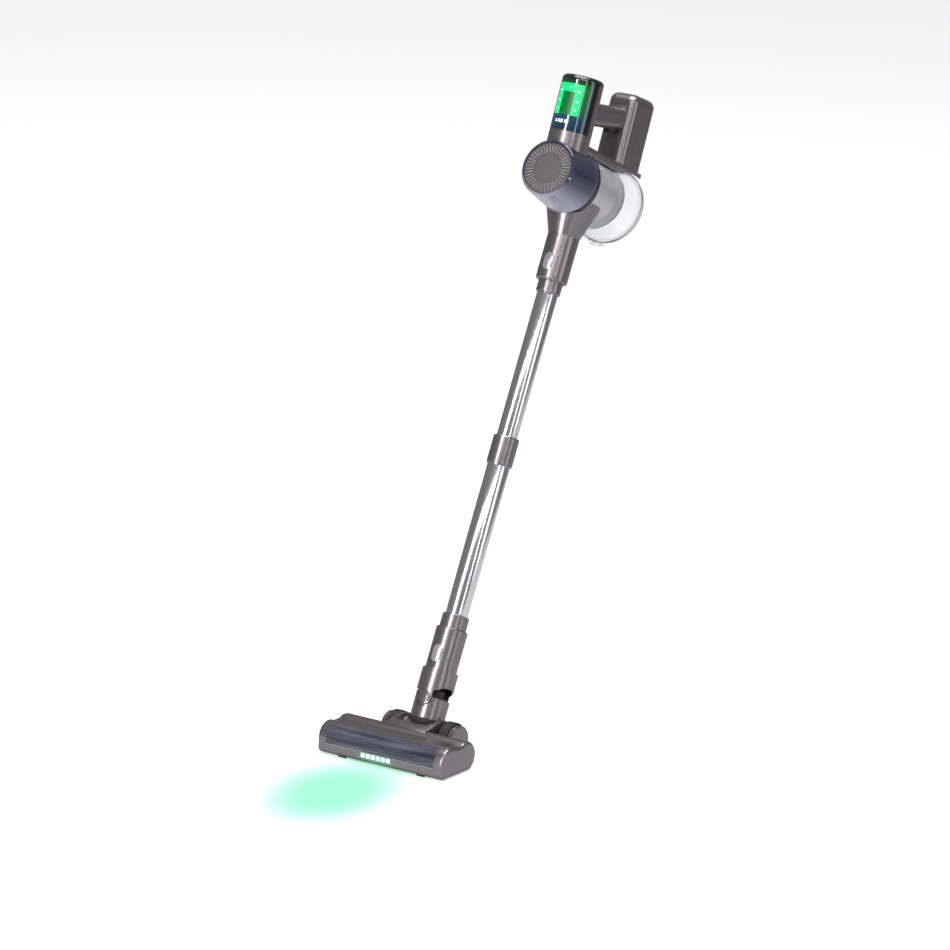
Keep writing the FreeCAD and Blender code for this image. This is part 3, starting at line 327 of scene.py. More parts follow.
@dataclass(frozen=True)
class Clear:
    """A clear or smoked wall, denser where it is seen edge on."""

    name: str
    colour: Colour
    fleck: Colour
    face_alpha: float
    edge_alpha: float
    rough: tuple[float, float] = (0.03, 0.06)
    transmission: float = 1.0
    coat: float = 0.0

    def material(self) -> bpy.types.Material:
        """The finish as a material."""
        material, shader = blank_material(self.name)
        tree = material.node_tree
        grain = tree.nodes.new("ShaderNodeGroup")
        grain.node_tree = ShaderGroups.grain
        grain.inputs["Base"].default_value = rgba(self.colour)
        grain.inputs["Fleck"].default_value = rgba(self.fleck)
        grain.inputs["Scale"].default_value = 60.0
        grain.inputs["Depth"].default_value = 0.0
        grain.inputs["Rough Low"].default_value = self.rough[0]
        grain.inputs["Rough High"].default_value = self.rough[1]
        tree.links.new(grain.outputs["Color"], shader.inputs["Base Color"])
        tree.links.new(grain.outputs["Roughness"], shader.inputs["Roughness"])
        facing = tree.nodes.new("ShaderNodeLayerWeight")
        facing.inputs["Blend"].default_value = 0.5
        dense = tree.nodes.new("ShaderNodeMapRange")
        dense.inputs["To Min"].default_value = self.face_alpha
        dense.inputs["To Max"].default_value = self.edge_alpha
        tree.links.new(facing.outputs["Facing"], dense.inputs["Value"])
        tree.links.new(dense.outputs["Result"], shader.inputs["Alpha"])
        shader.inputs["Transmission Weight"].default_value = self.transmission
        shader.inputs["IOR"].default_value = 1.46
        shader.inputs["Coat Weight"].default_value = self.coat
        return material


@dataclass(frozen=True)
class Streaked(Clear):
    """A smoked wall with long soft streaks along the head, darker between them."""

    def material(self) -> bpy.types.Material:
        """The finish as a material."""
        material = Clear.material(self)
        tree = material.node_tree
        place = tree.nodes.new("ShaderNodeTexCoord")
        lay = tree.nodes.new("ShaderNodeMapping")
        lay.inputs["Scale"].default_value = (9.0, 150.0, 150.0)
        streaks = tree.nodes.new("ShaderNodeTexNoise")
        streaks.inputs["Scale"].default_value = 1.0
        streaks.inputs["Detail"].default_value = 3.0
        mask = tree.nodes.new("ShaderNodeMapRange")
        mask.inputs["From Min"].default_value = 0.42
        mask.inputs["From Max"].default_value = 0.72
        paint = tree.nodes.new("ShaderNodeMix")
        paint.data_type = "RGBA"
        paint.inputs[6].default_value = rgba(self.colour)
        paint.inputs[7].default_value = rgba(self.fleck)
        tree.links.new(place.outputs["Object"], lay.inputs["Vector"])
        tree.links.new(lay.outputs["Vector"], streaks.inputs["Vector"])
        tree.links.new(streaks.outputs["Fac"], mask.inputs["Value"])
        tree.links.new(mask.outputs["Result"], paint.inputs["Factor"])
        tree.links.new(paint.outputs[2], tree.nodes["Principled BSDF"].inputs["Base Color"])
        return material


@dataclass(frozen=True)
class SmokedShell:
    """The cup's smoked front shell: navy above, lightened by a painted highlight to pale lavender under it."""

    base: Clear
    name: str = "smoked_front_shell"
    # The two lowest stops are painted highlight on the shell's underside; the navy stops are the shell's own tint.
    stops: tuple[tuple[float, Colour], ...] = ((0.02, (0.52, 0.52, 0.62)), (0.16, (0.30, 0.30, 0.41)),
                                               (0.36, (0.055, 0.055, 0.12)), (0.9, (0.045, 0.045, 0.105)))

    def material(self) -> bpy.types.Material:
        """The finish as a material."""
        material = self.base.material()
        material.name = self.name
        tree = material.node_tree
        place = tree.nodes.new("ShaderNodeTexCoord")
        lay = tree.nodes.new("ShaderNodeMapping")
        lay.vector_type = "TEXTURE"
        station = PLACES["cup"]
        lay.inputs["Location"].default_value = station.at(0, 0, -50)
        lay.inputs["Rotation"].default_value = (-math.atan2(station.up.y, station.up.z), 0, 0)
        lay.inputs["Scale"].default_value = (0.1, 0.1, 0.1)
        split = tree.nodes.new("ShaderNodeSeparateXYZ")
        ramp = tree.nodes.new("ShaderNodeValToRGB")
        for index, (where, colour) in enumerate(self.stops):
            stop = ramp.color_ramp.elements[index] if index < 2 else ramp.color_ramp.elements.new(where)
            stop.position = where
            stop.color = rgba(colour)
        tree.links.new(place.outputs["Object"], lay.inputs["Vector"])
        tree.links.new(lay.outputs["Vector"], split.inputs["Vector"])
        tree.links.new(split.outputs["Z"], ramp.inputs["Fac"])
        tree.links.new(ramp.outputs["Color"], tree.nodes["Principled BSDF"].inputs["Base Color"])
        return material


@dataclass(frozen=True)
class Lit:
    """A lit face with a faint cell pattern in its glow."""

    name: str
    colour: Colour
    dim: Colour
    strength: float
    scale: float = 500.0

    def material(self) -> bpy.types.Material:
        """The finish as a material."""
        material, shader = blank_material(self.name)
        tree = material.node_tree
        grain = tree.nodes.new("ShaderNodeGroup")
        grain.node_tree = ShaderGroups.grain
        grain.inputs["Base"].default_value = rgba(self.colour)
        grain.inputs["Fleck"].default_value = rgba(self.dim)
        grain.inputs["Scale"].default_value = self.scale
        grain.inputs["Rough Low"].default_value = 0.25
        tree.links.new(grain.outputs["Color"], shader.inputs["Base Color"])
        tree.links.new(grain.outputs["Color"], shader.inputs["Emission Color"])
        tree.links.new(grain.outputs["Roughness"], shader.inputs["Roughness"])
        shader.inputs["Emission Strength"].default_value = self.strength
        return material


@dataclass(frozen=True)
class PaintedGlowLip:
    """The lip's plastic, with the headlights' green spill painted round their row as a glow."""

    name: str
    base: Moulded
    centre: Vector
    reach: Vector

    def material(self) -> bpy.types.Material:
        """The finish as a material."""
        material = self.base.material()
        material.name = self.name
        tree = material.node_tree
        shader = tree.nodes["Principled BSDF"]
        place = tree.nodes.new("ShaderNodeTexCoord")
        lay = tree.nodes.new("ShaderNodeMapping")
        lay.vector_type = "TEXTURE"
        lay.inputs["Location"].default_value = self.centre
        lay.inputs["Scale"].default_value = self.reach
        tree.links.new(place.outputs["Object"], lay.inputs["Vector"])
        ball = tree.nodes.new("ShaderNodeTexGradient")
        ball.gradient_type = "QUADRATIC_SPHERE"
        tree.links.new(lay.outputs["Vector"], ball.inputs["Vector"])
        # Painted light: the headlights' green spill, emitted by the lip's own plastic.
        spill = tree.nodes.new("ShaderNodeMix")
        spill.data_type = "RGBA"
        spill.inputs[6].default_value = (0, 0, 0, 1)
        spill.inputs[7].default_value = (0.05, 0.75, 0.32, 1)
        tree.links.new(ball.outputs["Fac"], spill.inputs["Factor"])
        tree.links.new(spill.outputs[2], shader.inputs["Emission Color"])
        shader.inputs["Emission Strength"].default_value = 0.55
        return material


@dataclass(frozen=True)
class StudioFloor:
    """A white floor with the headlights' soft green pool of light painted in front of the head."""

    name: str
    centre: Vector
    reach: Vector
    turn: float
    white: Colour = (0.93, 0.93, 0.93)
    # Painted light: the green of the headlights' pool, painted into the floor's colour and glow.
    green: Colour = (0.21, 0.76, 0.37)
    mirrored_grey: Colour = (0.52, 0.52, 0.54)
    glow: float = 0.64

    def material(self) -> bpy.types.Material:
        """The finish as a material."""
        material, shader = blank_material(self.name)
        tree = material.node_tree
        place = tree.nodes.new("ShaderNodeTexCoord")
        lay = tree.nodes.new("ShaderNodeMapping")
        lay.vector_type = "TEXTURE"
        lay.inputs["Location"].default_value = self.centre
        lay.inputs["Rotation"].default_value = (0, 0, self.turn)
        lay.inputs["Scale"].default_value = self.reach
        ball = tree.nodes.new("ShaderNodeTexGradient")
        ball.gradient_type = "SPHERICAL"
        soft = tree.nodes.new("ShaderNodeMapRange")
        soft.interpolation_type = "SMOOTHSTEP"
        soft.inputs["From Max"].default_value = 0.8
        # Painted light pool: white blended to green round the pool's centre.
        pool = tree.nodes.new("ShaderNodeMix")
        pool.data_type = "RGBA"
        pool.inputs[6].default_value = rgba(self.white)
        mirrored = tree.nodes.new("ShaderNodeMix")
        mirrored.data_type = "RGBA"
        mirrored.inputs[7].default_value = rgba(self.mirrored_grey)
        pool.inputs[7].default_value = rgba(self.green)
        tree.links.new(place.outputs["Object"], lay.inputs["Vector"])
        tree.links.new(lay.outputs["Vector"], ball.inputs["Vector"])
        tree.links.new(ball.outputs["Fac"], soft.inputs["Value"])
        tree.links.new(soft.outputs["Result"], pool.inputs["Factor"])
        seen = tree.nodes.new("ShaderNodeLightPath")
        tree.links.new(pool.outputs[2], mirrored.inputs[6])
        tree.links.new(seen.outputs["Is Glossy Ray"], mirrored.inputs["Factor"])
        tree.links.new(mirrored.outputs[2], shader.inputs["Base Color"])
        tree.links.new(pool.outputs[2], shader.inputs["Emission Color"])
        shader.inputs["Roughness"].default_value = 0.9
        shader.inputs["Specular IOR Level"].default_value = 0.0
        lift = tree.nodes.new("ShaderNodeMapRange")
        lift.inputs["To Min"].default_value = 0.0
        lift.inputs["To Max"].default_value = self.glow
        straight = tree.nodes.new("ShaderNodeMath")
        straight.operation = "MAXIMUM"
        tree.links.new(seen.outputs["Is Camera Ray"], straight.inputs[0])
        tree.links.new(seen.outputs["Is Transmission Ray"], straight.inputs[1])
        tree.links.new(straight.outputs["Value"], lift.inputs["Value"])
        tree.links.new(lift.outputs["Result"], shader.inputs["Emission Strength"])
        return material


@dataclass(frozen=True)
class DisplayGlow:
    """The display lens: gloss black with a green glow that turns blue at its foot."""

    name: str
    base: Moulded
    origin: Vector

    def material(self) -> bpy.types.Material:
        """The finish as a material."""
        material = self.base.material()
        material.name = self.name
        tree = material.node_tree
        shader = tree.nodes["Principled BSDF"]
        place = tree.nodes.new("ShaderNodeTexCoord")
        lay = tree.nodes.new("ShaderNodeMapping")
        lay.vector_type = "TEXTURE"
        up = PLACES["upper"].up
        lay.inputs["Location"].default_value = self.origin
        lay.inputs["Rotation"].default_value = (-math.atan2(up.y, up.z), 0, 0)
        lay.inputs["Scale"].default_value = (0.0315, 0.0315, 0.108)
        split = tree.nodes.new("ShaderNodeSeparateXYZ")
        tree.links.new(place.outputs["Object"], lay.inputs["Vector"])
        tree.links.new(lay.outputs["Vector"], split.inputs["Vector"])
        ramp = tree.nodes.new("ShaderNodeValToRGB")
        stops = ((0.22, (0.0, 0.02, 0.06)), (0.38, (0.0, 0.05, 0.12)), (0.47, (0.0, 0.13, 0.06)),
                 (0.82, (0.0, 0.17, 0.03)), (0.93, (0.0, 0.004, 0.002)))
        for index, (where, colour) in enumerate(stops):
            stop = ramp.color_ramp.elements[index] if index < 2 else ramp.color_ramp.elements.new(where)
            stop.position = where
            stop.color = rgba(colour)
        tree.links.new(split.outputs["Z"], ramp.inputs["Fac"])
        reach = tree.nodes.new("ShaderNodeMath")
        reach.operation = "ABSOLUTE"
        tree.links.new(split.outputs["X"], reach.inputs[0])
        mask = tree.nodes.new("ShaderNodeMapRange")
        mask.interpolation_type = "SMOOTHSTEP"
        mask.inputs["From Min"].default_value = 0.97
        mask.inputs["From Max"].default_value = 0.70
        tree.links.new(reach.outputs["Value"], mask.inputs["Value"])
        lit = tree.nodes.new("ShaderNodeMix")
        lit.data_type = "RGBA"
        lit.inputs[6].default_value = (0, 0, 0, 1)
        tree.links.new(mask.outputs["Result"], lit.inputs["Factor"])
        tree.links.new(ramp.outputs["Color"], lit.inputs[7])
        tree.links.new(lit.outputs[2], shader.inputs["Emission Color"])
        shader.inputs["Emission Strength"].default_value = 1.0
        return material


TAUPE = Moulded("taupe_satin_shell", (0.27, 0.240, 0.254), (0.25, 0.222, 0.235), (0.25, 0.31), 0.85, 0.2)
CHARCOAL = Moulded("charcoal_moulding", (0.022, 0.022, 0.025), (0.034, 0.034, 0.037), (0.38, 0.5))
SILVER = Moulded("silver_lacquer", (0.62, 0.61, 0.64), (0.54, 0.53, 0.56), (0.2, 0.28), 0.7, 0.5)
RUBBER = Moulded("black_rubber", (0.012, 0.012, 0.013), (0.02, 0.02, 0.021), (0.55, 0.7), 0.0, 0.0, 1400.0, 0.3)
PILE = Moulded("roller_pile_fabric", (0.030, 0.040, 0.052), (0.10, 0.12, 0.14), (0.8, 0.95), 0.0, 0.0, 700.0, 1.0)
FLANGE = Moulded("steel_blue_flange", (0.085, 0.105, 0.14), (0.07, 0.085, 0.115), (0.25, 0.32), 0.3, 0.3)
PAPER = Moulded("filter_media", (0.62, 0.61, 0.57), (0.5, 0.49, 0.46), (0.85, 0.95), 0.0, 0.0, 500.0, 0.6)
WRAP = Moulded("cell_wrap", (0.05, 0.14, 0.32), (0.04, 0.11, 0.26), (0.3, 0.4))
LENS = Moulded("black_display_lens", (0.004, 0.006, 0.006), (0.006, 0.009, 0.008), (0.04, 0.07), 0.0, 1.0, 300.0, 0.0)
ALUMINIUM = Drawn("bright_aluminium_tube", (0.93, 0.93, 0.96), (0.86, 0.86, 0.90))
STEEL = Drawn("turned_steel", (0.60, 0.60, 0.62), (0.45, 0.45, 0.47), (0.2, 0.35))
MESH = Drawn("mesh_sleeve_metal", (0.50, 0.48, 0.50), (0.42, 0.40, 0.42), (0.16, 0.26))
SMOKED = Clear("smoked_shell", (0.050, 0.050, 0.115), (0.042, 0.042, 0.10), 0.80, 0.96, (0.04, 0.07), 0.35, 0.9)
WINDOW = Streaked("smoked_roller_window", (0.034, 0.038, 0.068), (0.17, 0.175, 0.22), 0.86, 0.97, (0.05,
    0.12), 0.3, 0.9)
BOWL = Clear("clear_dust_bowl", (0.95, 0.96, 0.99), (0.92, 0.93, 0.97), 0.10, 0.50, (0.02, 0.04), 0.35, 0.4)
HOSE = Moulded("hose_rubber", (0.055, 0.052, 0.055), (0.045, 0.043, 0.046), (0.28, 0.36), 0.0, 0.2)
GREEN_LED = Lit("green_headlight", (0.42, 1.0, 0.66), (0.36, 0.98, 0.60), 1.9)
GREEN_BAND = Lit("green_display_band", (0.0, 0.75, 0.13), (0.0, 0.66, 0.11), 1.0)
GREEN_DARK = Lit("dark_green_window", (0.0, 0.10, 0.02), (0.0, 0.07, 0.015), 0.8)
WHITE_MARK = Lit("white_display_mark", (0.75, 0.95, 0.92), (0.7, 0.9, 0.88), 1.2)
DISC = Moulded("ribbed_disc_plastic", (0.21, 0.19, 0.20), (0.17, 0.153, 0.161), (0.34, 0.42), 0.7, 0.1)
# Painted highlight: the glint along the disc's rib crests.
GLINT = Moulded("rib_crest_painted_glint", (0.50, 0.475, 0.49), (0.44, 0.415, 0.43), (0.22, 0.3), 0.35, 0.3)
TRIM = Drawn("trim_line_metal", (0.42, 0.40, 0.42), (0.34, 0.33, 0.35), (0.3, 0.4))
# Painted shade: a darker copy of the taupe for the handle's front panel and the platform's ribbed insets.
SHADED_TAUPE = Moulded("taupe_inset_painted_shade", (0.22, 0.199, 0.208), (0.20, 0.181, 0.19), (0.3, 0.38), 0.8, 0.1)
RIM = Clear("dense_clear_rim", (0.10, 0.11, 0.17), (0.08, 0.09, 0.14), 0.72, 0.92, (0.05, 0.1), 0.3)
# Painted highlight: the white lines along the smoked shell's front and rear rims.
RIM_HIGHLIGHT = Clear("clear_rim_painted_highlight", (0.66, 0.67, 0.80), (0.60, 0.61, 0.74), 0.62, 0.92, (0.04, 0.08), 0.2, 0.9)
FLOOR = StudioFloor("studio_floor_white", PLACES["head"].at(12, -250, 0), Vector((0.18, 0.30, 1.0)), 0.21)


class Dresser:
    """Gives pieces and CAD nodes their finishes, building each material once."""

    def __init__(self) -> None:
        """Start with no materials built."""
        self.built: dict[str, bpy.types.Material] = {}

    def of(self, finish) -> bpy.types.Material:
        """The material of a finish.

        Args:
            finish: Any of the finish classes.

        Returns:
            Its material, built on first use.
        """
        if finish.name not in self.built:
            self.built[finish.name] = finish.material()
        return self.built[finish.name]

    def dress(self, obj: bpy.types.Object, finish) -> None:
        """Put one finish on every slot of an object.

        Args:
            obj: The object.
            finish: Its finish.
        """
        material = self.of(finish)
        if not obj.data.materials:
            obj.data.materials.append(material)
        for index in range(len(obj.material_slots)):
            obj.material_slots[index].material = material


DRESSER = Dresser()


# ------------------------------------------------------------------ pieces

def new_piece(name: str, mesh: bpy.types.Mesh, body: str, finish) -> bpy.types.Object:
    """Link a finished mesh as a piece that rides on a body.

    Args:
        name: The piece's name.
        mesh: Its mesh, already in the frame's place.
        body: The CAD body it moves with.
        finish: Its finish.

    Returns:
        The piece.
    """
    obj = bpy.data.objects.new(name, mesh)
    bpy.context.scene.collection.objects.link(obj)
    DRESSER.dress(obj, finish)
    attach(obj, body)
    log.info("%s rides on %s", name, body)
    return obj


def mesh_of(name: str, work: bmesh.types.BMesh, smooth_angle: float = 35.0) -> bpy.types.Mesh:
    """A mesh from edit geometry, smooth but for its sharp edges.

    Args:
        name: The mesh's name.
        work: The edit geometry, which is freed.
        smooth_angle: Edges sharper than this stay sharp, in degrees.

    Returns:
        The mesh.
    """
    limit = math.radians(smooth_angle)
    for face in work.faces:
        face.smooth = True
    for edge in work.edges:
        sharp = len(edge.link_faces) != 2 or edge.calc_face_angle(0.0) > limit
        edge.smooth = not sharp
    mesh = bpy.data.meshes.new(name)
    work.to_mesh(mesh)
    work.free()
    return mesh


def spun(profile: Sequence[tuple[float, float]], station: Station, axis: str, steps: int = 96) -> bmesh.types.BMesh:
    """A closed turned shell from (radius, place along the axis) points in millimetres.

    Args:
        profile: The closed profile, last point joined to the first.
        station: Whose axes it is turned in.
        axis: The axis it is turned about, "x", "y" or "z".
        steps: How many sides it has.

    Returns:
        The edit geometry, facing outwards.
    """
    work = bmesh.new()
    rings = []
    for step in range(steps):
        turn = 2 * math.pi * step / steps
        loop = []
        for radius, place in profile:
            a, b = radius * math.cos(turn), radius * math.sin(turn)
            spot = {"x": (place, a, b), "y": (a, place, b), "z": (a, b, place)}[axis]
            loop.append(work.verts.new(station.at(*spot)))
        rings.append(loop)
    for step, loop in enumerate(rings):
        following = rings[(step + 1) % steps]
        for index in range(len(profile)):
            nxt = (index + 1) % len(profile)
            work.faces.new((loop[index], loop[nxt], following[nxt], following[index]))
    bmesh.ops.remove_doubles(work, verts=work.verts, dist=1e-7)
    bmesh.ops.recalc_face_normals(work, faces=work.faces)
    return work


def softened_copy(node: str, bevel: float = 0.0) -> bpy.types.Mesh:
    """A merged, smooth-shaded copy of a CAD node's mesh, its edges eased if asked.

    Args:
        node: The CAD node.
        bevel: The width of the eased edges in millimetres, or nothing.

    Returns:
        The new mesh.
    """
    work = bmesh.new()
    work.from_mesh(frame["nodes"][node].data)
    bmesh.ops.remove_doubles(work, verts=work.verts, dist=2e-6)
    bmesh.ops.dissolve_degenerate(work, edges=work.edges, dist=1e-6)
    if bevel:
        bmesh.ops.dissolve_limit(work, angle_limit=math.radians(0.6), verts=work.verts, edges=work.edges)
        limit = math.radians(38)
        chosen = [edge for edge in work.edges if len(edge.link_faces) == 2 and edge.calc_face_angle(0.0) > limit]
        bmesh.ops.bevel(work, geom=chosen, offset=bevel * MM, segments=2, profile=0.5, affect="EDGES",
                        clamp_overlap=True)
    return mesh_of(node + "_eased", work)


def ease(node: str, finish, bevel: float = 0.0) -> bpy.types.Object:
    """Dress a CAD node, or stand a copy in its place if it is clear or has eased edges.

    Args:
        node: The CAD node.
        finish: Its finish.
        bevel: The width of the eased edges in millimetres, or nothing to keep the node itself.

    Returns:
        The node or the piece.
    """
    if not bevel and not isinstance(finish, (Clear, SmokedShell)):
        DRESSER.dress(frame["nodes"][node], finish)
        return frame["nodes"][node]
    body = frame["nodes"][node]["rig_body"]
    obj = new_piece(node + "_piece", softened_copy(node, bevel), body, finish)
    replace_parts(obj, node)
    return obj


# ------------------------------------------------------------------ repeated details

class Motif(Enum):
    """The small shape that a pattern repeats."""

    PEG = "peg"
    SLAT = "slat"
    HOOP = "hoop"


@dataclass(frozen=True)
class Mark:
    """One place in a pattern: where it is, which way it faces and which way it runs."""

    place: Vector
    facing: Vector
    along: Vector = field(default_factory=lambda: Vector((1, 0, 0)))


class Pattern:
    """A Geometry Nodes tree that sets one motif on a cloud of marks."""

    trees: dict[Motif, bpy.types.NodeTree] = {}

    @classmethod
    def tree(cls, motif: Motif) -> bpy.types.NodeTree:
        """The tree for a motif, built on first use.

        Args:
            motif: The shape that is repeated.

        Returns:
            The node tree, with its sizes as named inputs.
        """
        if motif in cls.trees:
            return cls.trees[motif]
        tree = bpy.data.node_groups.new("pattern_of_" + motif.value, "GeometryNodeTree")
        socket = tree.interface.new_socket
        socket("Marks", in_out="INPUT", socket_type="NodeSocketGeometry")
        for label in ("Length", "Width", "Depth", "Variation"):
            socket(label, in_out="INPUT", socket_type="NodeSocketFloat")
        socket("Seed", in_out="INPUT", socket_type="NodeSocketInt")
        socket("Finish", in_out="INPUT", socket_type="NodeSocketMaterial")
        socket("Pattern", in_out="OUTPUT", socket_type="NodeSocketGeometry")
        node, link = tree.nodes.new, tree.links.new
        source, sink = node("NodeGroupInput"), node("NodeGroupOutput")
        points = node("GeometryNodeMeshToPoints")
        link(source.outputs["Marks"], points.inputs["Mesh"])
        turns = []
        for name, axis in (("facing", "Z"), ("along", "Y")):
            read = node("GeometryNodeInputNamedAttribute")
            read.data_type = "FLOAT_VECTOR"
            read.inputs["Name"].default_value = name
            turn = node("FunctionNodeAlignRotationToVector")
            turn.axis = axis
            turn.pivot_axis = "AUTO" if axis == "Z" else "Z"
            link(read.outputs["Attribute"], turn.inputs["Vector"])
            if turns:
                link(turns[-1].outputs["Rotation"], turn.inputs["Rotation"])
            turns.append(turn)
        vary = node("FunctionNodeRandomValue")
        vary.data_type = "FLOAT"
        shrink = node("ShaderNodeMath")
        shrink.operation = "SUBTRACT"
        shrink.inputs[0].default_value = 1.0
        link(source.outputs["Variation"], shrink.inputs[1])
        link(shrink.outputs["Value"], vary.inputs[2])
        vary.inputs[3].default_value = 1.0
        link(source.outputs["Seed"], vary.inputs["Seed"])
        place = node("GeometryNodeInstanceOnPoints")
        link(points.outputs["Points"], place.inputs["Points"])
        link(cls.shape(tree, source, motif), place.inputs["Instance"])
        link(turns[-1].outputs["Rotation"], place.inputs["Rotation"])
        link(vary.outputs[1], place.inputs["Scale"])
        real, paint = node("GeometryNodeRealizeInstances"), node("GeometryNodeSetMaterial")
        link(place.outputs["Instances"], real.inputs["Geometry"])
        link(real.outputs["Geometry"], paint.inputs["Geometry"])
        link(source.outputs["Finish"], paint.inputs["Material"])
        link(paint.outputs["Geometry"], sink.inputs["Pattern"])
        cls.trees[motif] = tree
        return tree

    @staticmethod
    def shape(tree: bpy.types.NodeTree, source: bpy.types.Node, motif: Motif) -> bpy.types.NodeSocket:
        """The motif's own geometry inside the tree.

        Args:
            tree: The tree it is added to.
            source: The tree's input node.
            motif: Which shape.

        Returns:
            The socket that gives the shape.
        """
        node, link = tree.nodes.new, tree.links.new
        if motif is Motif.SLAT:
            block, size = node("GeometryNodeMeshCube"), node("ShaderNodeCombineXYZ")
            for letter, label in zip("XYZ", ("Width", "Length", "Depth")):
                link(source.outputs[label], size.inputs[letter])
            link(size.outputs["Vector"], block.inputs["Size"])
            return block.outputs["Mesh"]
        half = node("ShaderNodeMath")
        half.operation = "MULTIPLY"
        half.inputs[1].default_value = 0.5
        link(source.outputs["Width"], half.inputs[0])
        if motif is Motif.PEG:
            peg = node("GeometryNodeMeshCone")
            peg.inputs["Vertices"].default_value = 8
            taper = node("ShaderNodeMath")
            taper.operation = "MULTIPLY"
            taper.inputs[1].default_value = 0.8
            link(half.outputs["Value"], taper.inputs[0])
            link(half.outputs["Value"], peg.inputs["Radius Bottom"])
            link(taper.outputs["Value"], peg.inputs["Radius Top"])
            link(source.outputs["Depth"], peg.inputs["Depth"])
            return peg.outputs["Mesh"]
        path, section = node("GeometryNodeCurvePrimitiveCircle"), node("GeometryNodeCurvePrimitiveCircle")
        path.inputs["Resolution"].default_value = 64
        section.inputs["Resolution"].default_value = 10
        reach = node("ShaderNodeMath")
        reach.operation = "MULTIPLY"
        reach.inputs[1].default_value = 0.5
        link(source.outputs["Length"], reach.inputs[0])
        link(reach.outputs["Value"], path.inputs["Radius"])
        link(half.outputs["Value"], section.inputs["Radius"])
        sweep = node("GeometryNodeCurveToMesh")
        link(path.outputs["Curve"], sweep.inputs["Curve"])
        link(section.outputs["Curve"], sweep.inputs["Profile Curve"])
        return sweep.outputs["Mesh"]

    @classmethod
    def laid(cls, name: str, marks: Sequence[Mark], motif: Motif, sizes: tuple[float, float, float], finish,
             variation: float = 0.0) -> bpy.types.Mesh:
        """Lay a motif on marks and return the result as a plain mesh.

        Args:
            name: The mesh's name.
            marks: Where the motif goes.
            motif: The shape that is repeated.
            sizes: Length, width and depth in millimetres.
            finish: The pattern's finish.
            variation: How much smaller a motif may be, from 0 to 1.

        Returns:
            The finished mesh.
        """
        cloud = bpy.data.meshes.new(name + "_marks")
        cloud.from_pydata([mark.place for mark in marks], [], [])
        for word in ("facing", "along"):
            layer = cloud.attributes.new(word, "FLOAT_VECTOR", "POINT")
            layer.data.foreach_set("vector", [part for mark in marks for part in getattr(mark, word)])
        carrier = bpy.data.objects.new(name + "_carrier", cloud)
        bpy.context.scene.collection.objects.link(carrier)
        modifier = carrier.modifiers.new("Pattern", "NODES")
        modifier.node_group = cls.tree(motif)
        values = {"Length": sizes[0] * MM, "Width": sizes[1] * MM, "Depth": sizes[2] * MM,
                  "Variation": variation, "Seed": 7, "Finish": DRESSER.of(finish)}
        for item in modifier.node_group.interface.items_tree:
            if item.in_out == "INPUT" and item.name in values:
                modifier[item.identifier] = values[item.name]
        carrier.update_tag()
        bpy.context.view_layer.update()
        graph = bpy.context.evaluated_depsgraph_get()
        mesh = bpy.data.meshes.new_from_object(carrier.evaluated_get(graph))
        carrier.modifiers.remove(modifier)
        bpy.data.objects.remove(carrier)
        mesh.name = name
        return mesh


def pattern_piece(name: str, marks: Sequence[Mark], motif: Motif, sizes: tuple[float, float, float], finish,
                  body: str, variation: float = 0.0) -> bpy.types.Object:
    """A pattern as a piece on a body.

    Args:
        name: The piece's name.
        marks: Where the motif goes.
        motif: The shape that is repeated.
        sizes: Length, width and depth in millimetres.
        finish: Its finish.
        body: The CAD body it moves with.
        variation: How much smaller a motif may be.

    Returns:
        The piece.
    """
    mesh = Pattern.laid(name, marks, motif, sizes, finish, variation)
    for polygon in mesh.polygons:
        polygon.use_smooth = motif is Motif.HOOP
    return new_piece(name, mesh, body, finish)


def around(station: Station, axis: str, radius: float, place: float, angle: float) -> Mark:
    """A mark on a cylinder, facing outwards and running along its axis.

    Args:
        station: Whose axes the cylinder has.
        axis: The cylinder's axis, "x", "y" or "z".
        radius: How far out, in millimetres.
        place: How far along, in millimetres.
        angle: Where round the axis, in degrees.

    Returns:
        The mark.
    """
    a, b = math.cos(math.radians(angle)), math.sin(math.radians(angle))
    out = {"x": (0, a, b), "y": (a, 0, b), "z": (a, b, 0)}[axis]
    run = {"x": (1, 0, 0), "y": (0, 1, 0), "z": (0, 0, 1)}[axis]
    spot = [radius * o + place * r for o, r in zip(out, run)]
    return Mark(station.at(*spot), station.along(*out), station.along(*run))


# ------------------------------------------------------------------ floor head

